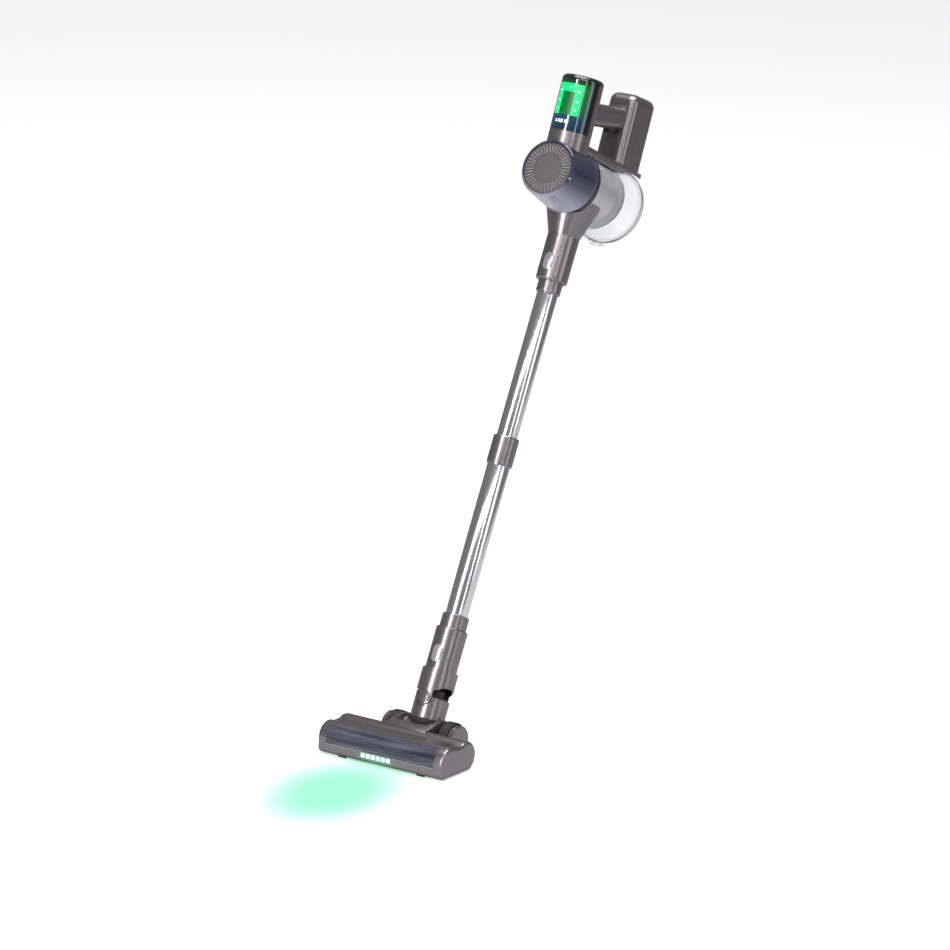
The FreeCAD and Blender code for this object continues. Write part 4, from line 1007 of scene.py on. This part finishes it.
@dataclass
class FloorHead:
    """The floor head: shell, window, lip with headlights, end caps, roller and wheels."""

    body_end: float = 96.0
    cap_face: float = 112.0
    front_lobe: tuple[float, float] = (-90.5, 23.5)
    rear_lobe: tuple[float, float] = (-49.0, 23.3)
    bridge: float = 43.5
    sole: float = 2.0
    toe: float = 8.0
    cap_round: float = 5.0
    pile_radius: float = 20.0
    tuft_rows: int = 6
    tufts_in_row: int = 150
    tread_ribs: int = 48
    lamp_shift: float = -7.0

    def section(self, inset: float, steps: int = 24) -> list[tuple[float, float]]:
        """The head's side profile, drawn in by a distance.

        Args:
            inset: How far in, in millimetres.
            steps: Points on each lobe.

        Returns:
            (y, z) points from the sole's rear, over the top, to the toe.
        """
        def arc(centre: tuple[float, float], radius: float, start: float, end: float) -> Iterable:
            for step in range(steps + 1):
                angle = start + (end - start) * step / steps
                yield centre[0] + radius * math.cos(angle), centre[1] + radius * math.sin(angle)

        rear_radius, front_radius = self.rear_lobe[1] - inset, self.front_lobe[1] - inset
        low, top = self.sole + inset, self.bridge - inset
        rear_low = -math.asin((self.rear_lobe[1] - low) / rear_radius)
        rear_top = math.pi - math.asin((top - self.rear_lobe[1]) / rear_radius)
        front_top = math.asin((top - self.front_lobe[1]) / front_radius)
        toe_centre = (self.front_lobe[0] - self.front_lobe[1] + self.toe, self.sole + self.toe)
        points = list(arc(self.rear_lobe, rear_radius, rear_low, rear_top))
        points += list(arc(self.front_lobe, front_radius, front_top, math.pi))
        points += list(arc(toe_centre, self.toe - inset, math.pi, math.pi * 1.5))
        return points

    def end_cap(self, side: int) -> bpy.types.Mesh:
        """One end cap with its outer edge rounded over.

        Args:
            side: -1 for the left cap, 1 for the right.

        Returns:
            The mesh.
        """
        station, work = PLACES["head"], bmesh.new()
        loops = [(self.body_end + 0.05, 0.0), (self.cap_face - self.cap_round, 0.0)]
        for step in range(1, 7):
            angle = math.pi / 2 * step / 6
            loops.append((self.cap_face - self.cap_round * (1 - math.sin(angle)),
                          self.cap_round * (1 - math.cos(angle))))
        rings = [[work.verts.new(station.at(place * side, y, z)) for y, z in self.section(inset)]
                 for place, inset in loops]
        for loop, following in zip(rings, rings[1:]):
            for index in range(len(loop)):
                nxt = (index + 1) % len(loop)
                work.faces.new((loop[index], loop[nxt], following[nxt], following[index]))
        work.faces.new(rings[0])
        work.faces.new(rings[-1])
        bmesh.ops.remove_doubles(work, verts=work.verts, dist=1e-7)
        bmesh.ops.recalc_face_normals(work, faces=work.faces)
        return mesh_of("end_cap", work)

    def build(self) -> None:
        """Build the head's pieces and dress its nodes."""
        for word, side in (("left", -1), ("right", 1)):
            cap = new_piece(f"{word}_cap_rounded", self.end_cap(side), "head", TAUPE)
            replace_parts(cap, f"{word}_end_cap")
        for node, finish, slot, bevel in (("head_shell", TAUPE, "shell_plastic", 0.0),
                                          ("shoulder_cover", TAUPE, "shell_plastic", 1.2),
                                          ("window_trim", TRIM, "tube_metal", 0.0),
                                          ("roller_window", WINDOW, "smoked_clear", 0.0)):
            ease(node, finish, bevel)
        self.lip()
        for node, finish in (("sole_plate", CHARCOAL), ("head_screws", STEEL), ("sole_strip", PILE),
                             ("glider_feet", RUBBER), ("headlight_leds", GREEN_LED), ("head_duct", CHARCOAL),
                             ("drive_motor", CHARCOAL), ("drive_belt", RUBBER), ("pivot_axles", STEEL),
                             ("roller_core", ALUMINIUM), ("roller_pile", PILE), ("roller_axle", STEEL),
                             ("motor_pulley", STEEL)):
            DRESSER.dress(frame["nodes"][node], finish)
        self.tufts()
        self.wheels()

    def lip(self) -> None:
        """The front lip, with the headlights' green glow painted round them."""
        low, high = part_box("headlight_leds")
        centre = (low + high) / 2
        ease("front_lip", PaintedGlowLip("front_lip_painted_glow", TAUPE, centre, Vector((0.050, 0.02, 0.016))),
             0.0)

    def tufts(self) -> None:
        """Spiral rows of tufts on the roller."""
        marks = []
        reach = self.body_end - 5
        for row in range(self.tuft_rows):
            for index in range(self.tufts_in_row):
                share = index / (self.tufts_in_row - 1)
                place = reach * (2 * share - 1)
                angle = 360 * row / self.tuft_rows + 150 * abs(2 * share - 1)
                marks.append(around(PLACES["roller"], "x", self.pile_radius, place, angle))
        pattern_piece("roller_tufts", marks, Motif.PEG, (1.0, 1.3, 0.9), CHARCOAL, "roller", 0.3)

    def wheels(self) -> None:
        """The wheels' hubs, tyres and tread ribs."""
        for word, side in (("left", -1), ("right", 1)):
            ease(f"wheel_{word}_hub", TAUPE, 0.0)
            DRESSER.dress(frame["nodes"][f"wheel_{word}_tyre"], RUBBER)
            marks = [around(PLACES["wheels"], "x", 25.75, 47.5 * side, 360 * step / self.tread_ribs)
                     for step in range(self.tread_ribs)]
            pattern_piece(f"wheel_{word}_tread", marks, Motif.SLAT, (11.0, 1.3, 0.24), RUBBER,
                          f"wheel_{word}")


# ------------------------------------------------------------------ neck and wand

@dataclass
class NeckAndWand:
    """The neck's sleeves and hose, the wand's tubes, and the catches on them."""

    hose_foot: float = 24.5
    hose_pitch: float = 3.6
    hose_rings: int = 11
    hose_radius: float = 14.3
    outer_tube: tuple[float, float, float] = (17.5, 16.4, 118.0)
    inner_tube: tuple[float, float, float] = (16.0, 14.9, 352.0)
    outer_top: float = 421.0
    inner_top: float = 700.0
    groove: tuple[float, float] = (10.2, 1.3)
    sleeve_radius: float = 27.7
    swivel_height: float = 47.5

    def build(self) -> None:
        """Build the hose, tubes and ribs, and ease the mouldings."""
        for node, bevel in (("lower_neck", 0.0), ("upper_socket", 0.0), ("wand_connector", 0.0),
                            ("wand_foot", 0.0), ("telescope_collar", 0.0), ("wand_cuff", 0.0),
                            ("swivel_pins", 0.5), ("telescope_latch", 0.5)):
            ease(node, TAUPE, bevel)
        for node in ("lower_release_button", "upper_release_button"):
            ease(node, SILVER, 0.8)
        DRESSER.dress(frame["nodes"]["neck_gasket"], RUBBER)
        self.hose()
        self.tube("outer_tube", "wand", self.outer_tube, self.outer_top)
        self.tube("inner_tube", "inner_wand", self.inner_tube, self.inner_top)
        self.latch_ribs()
        self.swivel_grooves()

    def swivel_grooves(self) -> None:
        """The grooves round the swivel's two caps, bent with the sleeve, as dark bands of painted shade."""
        station = PLACES["wand"]
        for word, side in (("front", -1), ("back", 1)):
            work, rings = bmesh.new(), []
            for step in range(64):
                turn = 2 * math.pi * step / 64
                ring = []
                for reach, out in ((self.groove[0] - self.groove[1], -0.2), (self.groove[0] - self.groove[1], 0.08),
                                   (self.groove[0], 0.08), (self.groove[0], -0.2)):
                    x = reach * math.cos(turn)
                    depth = math.sqrt(self.sleeve_radius ** 2 - x * x) + out
                    ring.append(work.verts.new(station.at(x, side * depth, self.swivel_height
                                                          + reach * math.sin(turn))))
                rings.append(ring)
            for step, ring in enumerate(rings):
                following = rings[(step + 1) % 64]
                for index in range(4):
                    nxt = (index + 1) % 4
                    work.faces.new((ring[index], ring[nxt], following[nxt], following[index]))
            bmesh.ops.recalc_face_normals(work, faces=work.faces)
            name = f"swivel_groove_{word}"
            # Painted shade: the groove's darkness as a charcoal band.
            new_piece(name, mesh_of(name, work), "upper_neck", CHARCOAL)

    def hose(self) -> None:
        """The corrugated hose inside the swivel."""
        station = PLACES["wand"]
        marks = [Mark(station.at(0, 0, self.hose_foot + self.hose_pitch * index), station.up)
                 for index in range(self.hose_rings)]
        hoops = pattern_piece("neck_hose_hoops", marks, Motif.HOOP,
                              (self.hose_radius * 2, 2.4, 1.0), HOSE, "lower_neck")
        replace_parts(hoops, "neck_hose")
        foot = self.hose_foot - 1
        top = foot + self.hose_pitch * (self.hose_rings - 1) + 2
        core = spun([(11.6, foot), (13.6, foot), (13.6, top), (11.6, top)], station, "z", 48)
        new_piece("neck_hose_wall", mesh_of("neck_hose_wall", core), "lower_neck", RUBBER)

    def tube(self, node: str, body: str, sizes: tuple[float, float, float], top: float) -> None:
        """One bright tube with softly rolled ends.

        Args:
            node: The CAD node it stands for.
            body: The body it moves with.
            sizes: Outer radius, inner radius and foot height in millimetres.
            top: The top's height in millimetres.
        """
        outer, inner, foot = sizes
        profile = [(inner, foot), (outer - 0.2, foot), (outer, foot + 0.4), (outer, top - 0.4),
                   (outer - 0.2, top), (inner, top)]
        mesh = mesh_of(node + "_bright", spun(profile, PLACES["wand"], "z", 128))
        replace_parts(new_piece(node + "_bright", mesh, body, ALUMINIUM), node)

    def latch_ribs(self) -> None:
        """The finger ribs across the telescope latch."""
        station = PLACES["wand"]
        marks = [Mark(station.at(0, 22.2, 430.0 + 3.0 * index), station.ahead, Vector((1, 0, 0)))
                 for index in range(5)]
        pattern_piece("latch_finger_ribs", marks, Motif.SLAT, (11.0, 1.0, 0.5), TAUPE, "collar_latch")


# ------------------------------------------------------------------ dust cup

@dataclass
class DustCup:
    """The dust cup: ribbed disc, smoked shell, black ring, mesh sleeve and clear bowl."""

    mesh_radius: float = 40.02
    mesh_start: float = -15.5
    mesh_rows: int = 20
    mesh_pitch: float = 3.4
    holes_round: int = 56
    hoops: tuple[tuple[float, float, float], ...] = ((58.0, 47.4, 1.0), (95.6, 57.4, 1.6), (103.2, 55.4, 1.5),
                                                    (-18.2, 47.5, 1.0))
    # Word, place, radius and width of the pale rings painted on the shell's rims as highlight lines.
    shell_rims: tuple[tuple[str, float, float, float], ...] = (("front", -93.2, 43.4, 1.2),
                                                              ("rear", -31.8, 49.6, 0.9))
    rib_reach: tuple[float, float] = (24.0, 36.6)
    rib_count: int = 40

    def build(self) -> None:
        """Build the cup's pieces and dress its nodes."""
        for node, finish, slot, bevel in (("ribbed_disc", DISC, "shell_plastic", 0.0),
                                          ("front_shell", SmokedShell(SMOKED), "smoked_clear", 0.0),
                                          ("inlet_neck", TAUPE, "shell_plastic", 0.0),
                                          ("motor_housing", CHARCOAL, "dark_plastic", 0.0),
                                          ("filter_flange", FLANGE, "flange_blue", 0.0),
                                          ("mesh_filter", MESH, "mesh_steel", 0.0),
                                          ("clear_bowl", BOWL, "clear", 0.0),
                                          ("bowl_lid", BOWL, "clear", 0.0)):
            ease(node, finish, bevel)
        for node, finish in (("suction_motor", CHARCOAL), ("fan_impeller", CHARCOAL), ("filter_core", PAPER)):
            DRESSER.dress(frame["nodes"][node], finish)
        self.perforations()
        self.rims()
        self.crests()

    def perforations(self) -> None:
        """The small holes all over the mesh sleeve, as charcoal pegs of painted shade."""
        marks = []
        for row in range(self.mesh_rows):
            place = self.mesh_start + self.mesh_pitch * row
            for hole in range(self.holes_round):
                angle = 360 * (hole + 0.5 * (row % 2)) / self.holes_round
                marks.append(around(PLACES["cup"], "y", self.mesh_radius, place, angle))
        pattern_piece("mesh_perforations", marks, Motif.PEG, (1.0, 1.0, 0.12), CHARCOAL, "bowl")

    def crests(self) -> None:
        """Painted glints along the crests of the disc's ribs, as bright slats."""
        station, marks = PLACES["cup"], []
        middle = sum(self.rib_reach) / 2
        for rib in range(self.rib_count):
            turn = 2 * math.pi * (rib + 0.25) / self.rib_count
            out = station.along(math.cos(turn), 0, math.sin(turn))
            spot = station.at(middle * math.cos(turn), -95.02, middle * math.sin(turn))
            marks.append(Mark(spot, -station.ahead, out))
        length = self.rib_reach[1] - self.rib_reach[0]
        pattern_piece("disc_rib_painted_glints", marks, Motif.SLAT, (length, 0.75, 0.3), GLINT, "main_unit")

    def rims(self) -> None:
        """The denser rims where the clear bowl swells and ends, and pale rings painted on the smoked shell's rims as
        highlight lines.
        """
        station = PLACES["cup"]
        for index, (place, radius, width) in enumerate(self.hoops):
            marks = [Mark(station.at(0, place, 0), station.ahead)]
            pattern_piece(f"bowl_rim_{index + 1}", marks, Motif.HOOP, (radius * 2, width, 1.0), RIM, "bowl")
        for word, place, radius, width in self.shell_rims:
            marks = [Mark(station.at(0, place, 0), station.ahead)]
            pattern_piece(f"shell_rim_{word}", marks, Motif.HOOP, (radius * 2, width, 1.0), RIM_HIGHLIGHT, "main_unit")


# ------------------------------------------------------------------ tower, handle and battery

@dataclass
class DisplayTower:
    """The display tower: lens, lit band, marks, vents and collar."""

    radius: float = 31.5
    set_back: float = -59.0
    band: tuple[float, float, float] = (19.0, 39.0, 12.0)
    band_foot: float = 46.0
    band_top: float = 93.0
    lamp_heights: tuple[float, ...] = (54.0, 67.0, 82.0)
    vent_angles: tuple[float, ...] = (93.0, 99.0, 105.0)
    vent_rows: int = 22

    def spot(self, angle: float, height: float, out: float = 0.0) -> tuple[float, float, float]:
        """A point on the tower's round, in its own millimetres.

        Args:
            angle: Round from the front towards +X, in degrees.
            height: Up the tower.
            out: How far outside the round.

        Returns:
            x, y and z.
        """
        reach, turn = self.radius + out, math.radians(angle)
        return reach * math.sin(turn), self.set_back - reach * math.cos(turn), height

    def tile(self, work: bmesh.types.BMesh, start: float, end: float, low: float, high: float,
             proud: float = 0.10) -> None:
        """Add a thin tile bent round the tower.

        Args:
            work: The edit geometry it is added to.
            start: First angle in degrees.
            end: Last angle in degrees.
            low: Foot height in millimetres.
            high: Top height in millimetres.
            proud: How far it stands off the lens.
        """
        station, steps = PLACES["upper"], max(1, round((end - start) / 3))
        rows = []
        for step in range(steps + 1):
            angle = start + (end - start) * step / steps
            rows.append([work.verts.new(station.at(*self.spot(angle, height, out)))
                         for height, out in ((low, -0.1), (low, proud), (high, proud), (high, -0.1))])
        for one, two in zip(rows, rows[1:]):
            for index in range(4):
                nxt = (index + 1) % 4
                work.faces.new((one[index], one[nxt], two[nxt], two[index]))
        work.faces.new(rows[0])
        work.faces.new(list(reversed(rows[-1])))

    def tiles(self, name: str, spans: Sequence[tuple[float, float, float, float]], finish, proud: float) -> None:
        """One piece made of bent tiles.

        Args:
            name: The piece's name.
            spans: First angle, last angle, foot and top of each tile.
            finish: Its finish.
            proud: How far it stands off the lens.
        """
        work = bmesh.new()
        for start, end, low, high in spans:
            self.tile(work, start, end, low, high, proud)
        bmesh.ops.recalc_face_normals(work, faces=work.faces)
        new_piece(name, mesh_of(name, work), "main_unit", finish)

    def build(self) -> None:
        """Build the tower's pieces and dress its nodes."""
        station = PLACES["upper"]
        glow = DisplayGlow("display_lens_glow", LENS, station.at(0, self.set_back, 0))
        ease("display_lens", glow, 0.0)
        ease("tower_shell", TAUPE, 0.0)
        ease("platform", TAUPE, 0.8)
        DRESSER.dress(frame["nodes"]["display_panel"], GREEN_DARK)
        inner, outer, thick = self.band
        self.tiles("display_band", [(-outer, -inner, self.band_foot, self.band_top),
                                    (inner, outer, self.band_foot, self.band_top),
                                    (-inner, inner, self.band_top - thick, self.band_top)], GREEN_BAND, 0.08)
        self.tiles("display_window", [(-inner, inner, self.band_foot, self.band_top - thick)], GREEN_DARK, 0.06)
        self.marks()
        self.figures()
        self.vents()

    def marks(self) -> None:
        """The seven small lamps in the band."""
        station, middle = PLACES["upper"], sum(self.band[:2]) / 2
        spots = [(0.0, self.band_top - self.band[2] / 2)]
        spots += [(side * middle, height) for side in (-1, 1) for height in self.lamp_heights]
        marks = []
        for angle, height in spots:
            turn = math.radians(angle)
            marks.append(Mark(station.at(*self.spot(angle, height, 0.12)),
                              station.along(math.sin(turn), -math.cos(turn), 0), station.up))
        pattern_piece("display_lamps", marks, Motif.PEG, (1.0, 3.0, 0.2), WHITE_MARK, "main_unit")

    def figures(self) -> None:
        """A battery sign and two plain figures in the lower zone."""
        spans = [(-23.0, -19.0, 33.4, 37.6), (-21.8, -20.2, 37.6, 38.3)]
        lit = {"6": "afgedc", "0": "abcdef"}
        for index, figure in enumerate("60"):
            left, low, width, height = -13.0 + 9.0 * index, 33.4, 6.0, 4.8
            right, middle, top, bar = left + width, low + height / 2, low + height, 0.7
            strokes = {"a": (left, right, top - bar, top), "d": (left, right, low, low + bar),
                       "g": (left, right, middle - bar / 2, middle + bar / 2),
                       "f": (left, left + 1.4, middle, top), "e": (left, left + 1.4, low, middle),
                       "b": (right - 1.4, right, middle, top), "c": (right - 1.4, right, low, middle)}
            spans += [strokes[letter] for letter in lit[figure]]
        spans += [(8.0, 12.0, 33.4, 38.2), (14.0, 18.0, 33.4, 38.2)]
        self.tiles("display_figures", spans, WHITE_MARK, 0.10)

    def vents(self) -> None:
        """The perforated strips behind the lens, and the ribbed insets on the platform's sides."""
        station = PLACES["upper"]
        # The vent holes are charcoal pegs: painted shade inside the holes.
        marks = []
        for side in (-1, 1):
            for angle in self.vent_angles:
                for row in range(self.vent_rows):
                    turn = math.radians(angle * side)
                    spot = self.spot(angle * side, 30.0 + 3.0 * row, 0.02)
                    out = station.along(math.sin(turn), -math.cos(turn), 0)
                    marks.append(Mark(station.at(*spot), out, station.up))
        pattern_piece("tower_vent_holes", marks, Motif.PEG, (1.0, 1.3, 0.12), CHARCOAL, "main_unit")
        wand, ribs = PLACES["wand"], []
        for side in (-1, 1):
            for step in range(30):
                place = wand.at(25.5 * side, -20.0 + 2.4 * step, 892.0)
                ribs.append(Mark(place, Vector((side, 0, 0)), wand.up))
        pattern_piece("platform_side_ribs", ribs, Motif.SLAT, (7.0, 1.1, 0.3), SHADED_TAUPE, "main_unit")


@dataclass
class HandleAndBattery:
    """The handle bar, its trigger, the block and the slide-out battery."""

    def build(self) -> None:
        """Build the handle's pieces and dress its nodes."""
        for node, bevel in (("handle_bar", 0.0), ("block_housing", 0.0), ("battery_case", 0.0),
                            ("battery_release", 0.6)):
            ease(node, TAUPE, bevel)
        # The front panel takes the darker taupe: painted shade on that face.
        ease("handle_panel", SHADED_TAUPE, 0.5)
        ease("trigger", CHARCOAL, 0.8)
        DRESSER.dress(frame["nodes"]["battery_cells"], WRAP)
        station = PLACES["bar"]
        marks = [Mark(station.at(0, 40.0 + 2.6 * index, -6.05), -station.up, Vector((1, 0, 0)))
                 for index in range(4)]
        pattern_piece("trigger_finger_ribs", marks, Motif.SLAT, (8.0, 0.9, 0.3), RUBBER, "trigger")


# ------------------------------------------------------------------ studio

class Studio:
    """The pale floor, the soft lights and the camera."""

    focal: float = 8000.0 * 36.0 / 950.0
    azimuth: float = math.radians(33.8)
    elevation: float = math.radians(15.8)
    roll: float = math.radians(1.87)
    distance: float = 11.824
    aim: tuple[float, float] = (423.7, 730.4)

    def view(self) -> tuple[Vector, Vector, Vector]:
        """The camera's right, up and forward directions."""
        az, el = self.azimuth, self.elevation
        ahead = Vector((-math.sin(az) * math.cos(el), math.cos(az) * math.cos(el), -math.sin(el)))
        right = Vector((math.cos(az), math.sin(az), 0))
        up = right.cross(ahead)
        return (right * math.cos(self.roll) + up * math.sin(self.roll),
                up * math.cos(self.roll) - right * math.sin(self.roll), ahead)

    def camera(self) -> None:
        """Set the camera with the neck's pivot at its place in the frame."""
        right, up, ahead = self.view()
        across, rise = (self.aim[0] - 475) / 8000, (475 - self.aim[1]) / 8000
        eye = PLACES["wand"].origin - (ahead + right * across + up * rise) * self.distance
        lens = bpy.data.cameras.new("camera")
        lens.lens = self.focal
        lens.sensor_width = 36.0
        lens.clip_end = 100.0
        obj = bpy.data.objects.new("camera", lens)
        turn = Matrix([[right[row], up[row], -ahead[row]] for row in range(3)]).to_4x4()
        obj.matrix_world = Matrix.Translation(eye) @ turn
        bpy.context.scene.collection.objects.link(obj)
        bpy.context.scene.camera = obj

    def floor(self) -> None:
        """A wide pale floor that the background is made of."""
        work = bmesh.new()
        bmesh.ops.create_grid(work, x_segments=8, y_segments=8, size=30.0)
        mesh = bpy.data.meshes.new("studio_floor")
        work.to_mesh(mesh)
        work.free()
        obj = bpy.data.objects.new("studio_floor", mesh)
        bpy.context.scene.collection.objects.link(obj)
        DRESSER.dress(obj, FLOOR)

    def panel(self, name: str, place: Vector, size: tuple[float, float], power: float,
              colour: Colour = (1, 1, 1), target: Vector = Vector((0, 0.25, 0.5))) -> None:
        """One soft light panel.

        Args:
            name: The light's name.
            place: Where it stands.
            size: Its width and height in metres.
            power: Its power in watts.
            colour: Its colour.
            target: What it points at.
        """
        lamp = bpy.data.lights.new(name, "AREA")
        lamp.shape = "RECTANGLE"
        lamp.size, lamp.size_y = size
        lamp.energy = power
        lamp.color = colour
        obj = bpy.data.objects.new(name, lamp)
        obj.matrix_world = Matrix.Translation(place) @ (target - place).to_track_quat("-Z", "Y").to_matrix().to_4x4()
        bpy.context.scene.collection.objects.link(obj)

    def lights(self) -> None:
        """The tall strip, the narrow strip, the top panel, the front bar and the fill; the headlights' pool is
        painted on the floor, not lit.
        """
        right, _, ahead = self.view()
        toward = Vector((-ahead.x, -ahead.y, 0)).normalized()
        side = Vector((right.x, right.y, 0)).normalized()
        middle = Vector((0, 0.25, 0))

        def stand(turn: float, reach: float, height: float) -> Vector:
            angle = math.radians(turn)
            return middle + (toward * math.cos(angle) + side * math.sin(angle)) * reach + Vector((0, 0, height))

        self.panel("tall_strip", stand(-36, 3.0, 1.1), (0.42, 3.0), 80.0)
        self.panel("narrow_strip", stand(24, 3.2, 1.2), (0.12, 2.4), 9.0)
        self.panel("top_panel", middle + Vector((0, 0.2, 3.6)), (2.6, 2.6), 112.0)
        self.panel("front_bar", stand(4, 3.0, 3.1), (3.2, 0.4), 34.0)
        self.panel("right_fill", stand(62, 3.2, 1.3), (0.9, 2.4), 12.0)

    def world(self) -> None:
        """An even pale surround at low strength."""
        world = bpy.data.worlds.new("studio_surround")
        bpy.context.scene.world = world
        world.use_nodes = True
        back = world.node_tree.nodes["Background"]
        back.inputs["Color"].default_value = (1, 1, 1, 1)
        back.inputs["Strength"].default_value = 0.17

    def build(self) -> None:
        """Set up the studio."""
        bpy.context.scene.view_settings.view_transform = "Standard"
        self.world()
        self.floor()
        self.lights()
        self.camera()


def main() -> None:
    """Build the vacuum's pieces in order, then the studio."""
    logging.basicConfig(level=logging.INFO, format="%(name)s: %(message)s")
    parts: tuple[tuple[str, Callable[[], None]], ...] = (
        ("floor head", FloorHead().build), ("neck and wand", NeckAndWand().build),
        ("dust cup", DustCup().build), ("display tower", DisplayTower().build),
        ("handle and battery", HandleAndBattery().build), ("studio", Studio().build))
    for label, build in parts:
        build()
        log.info("%s built", label)


if __name__ == "__main__":
    main()
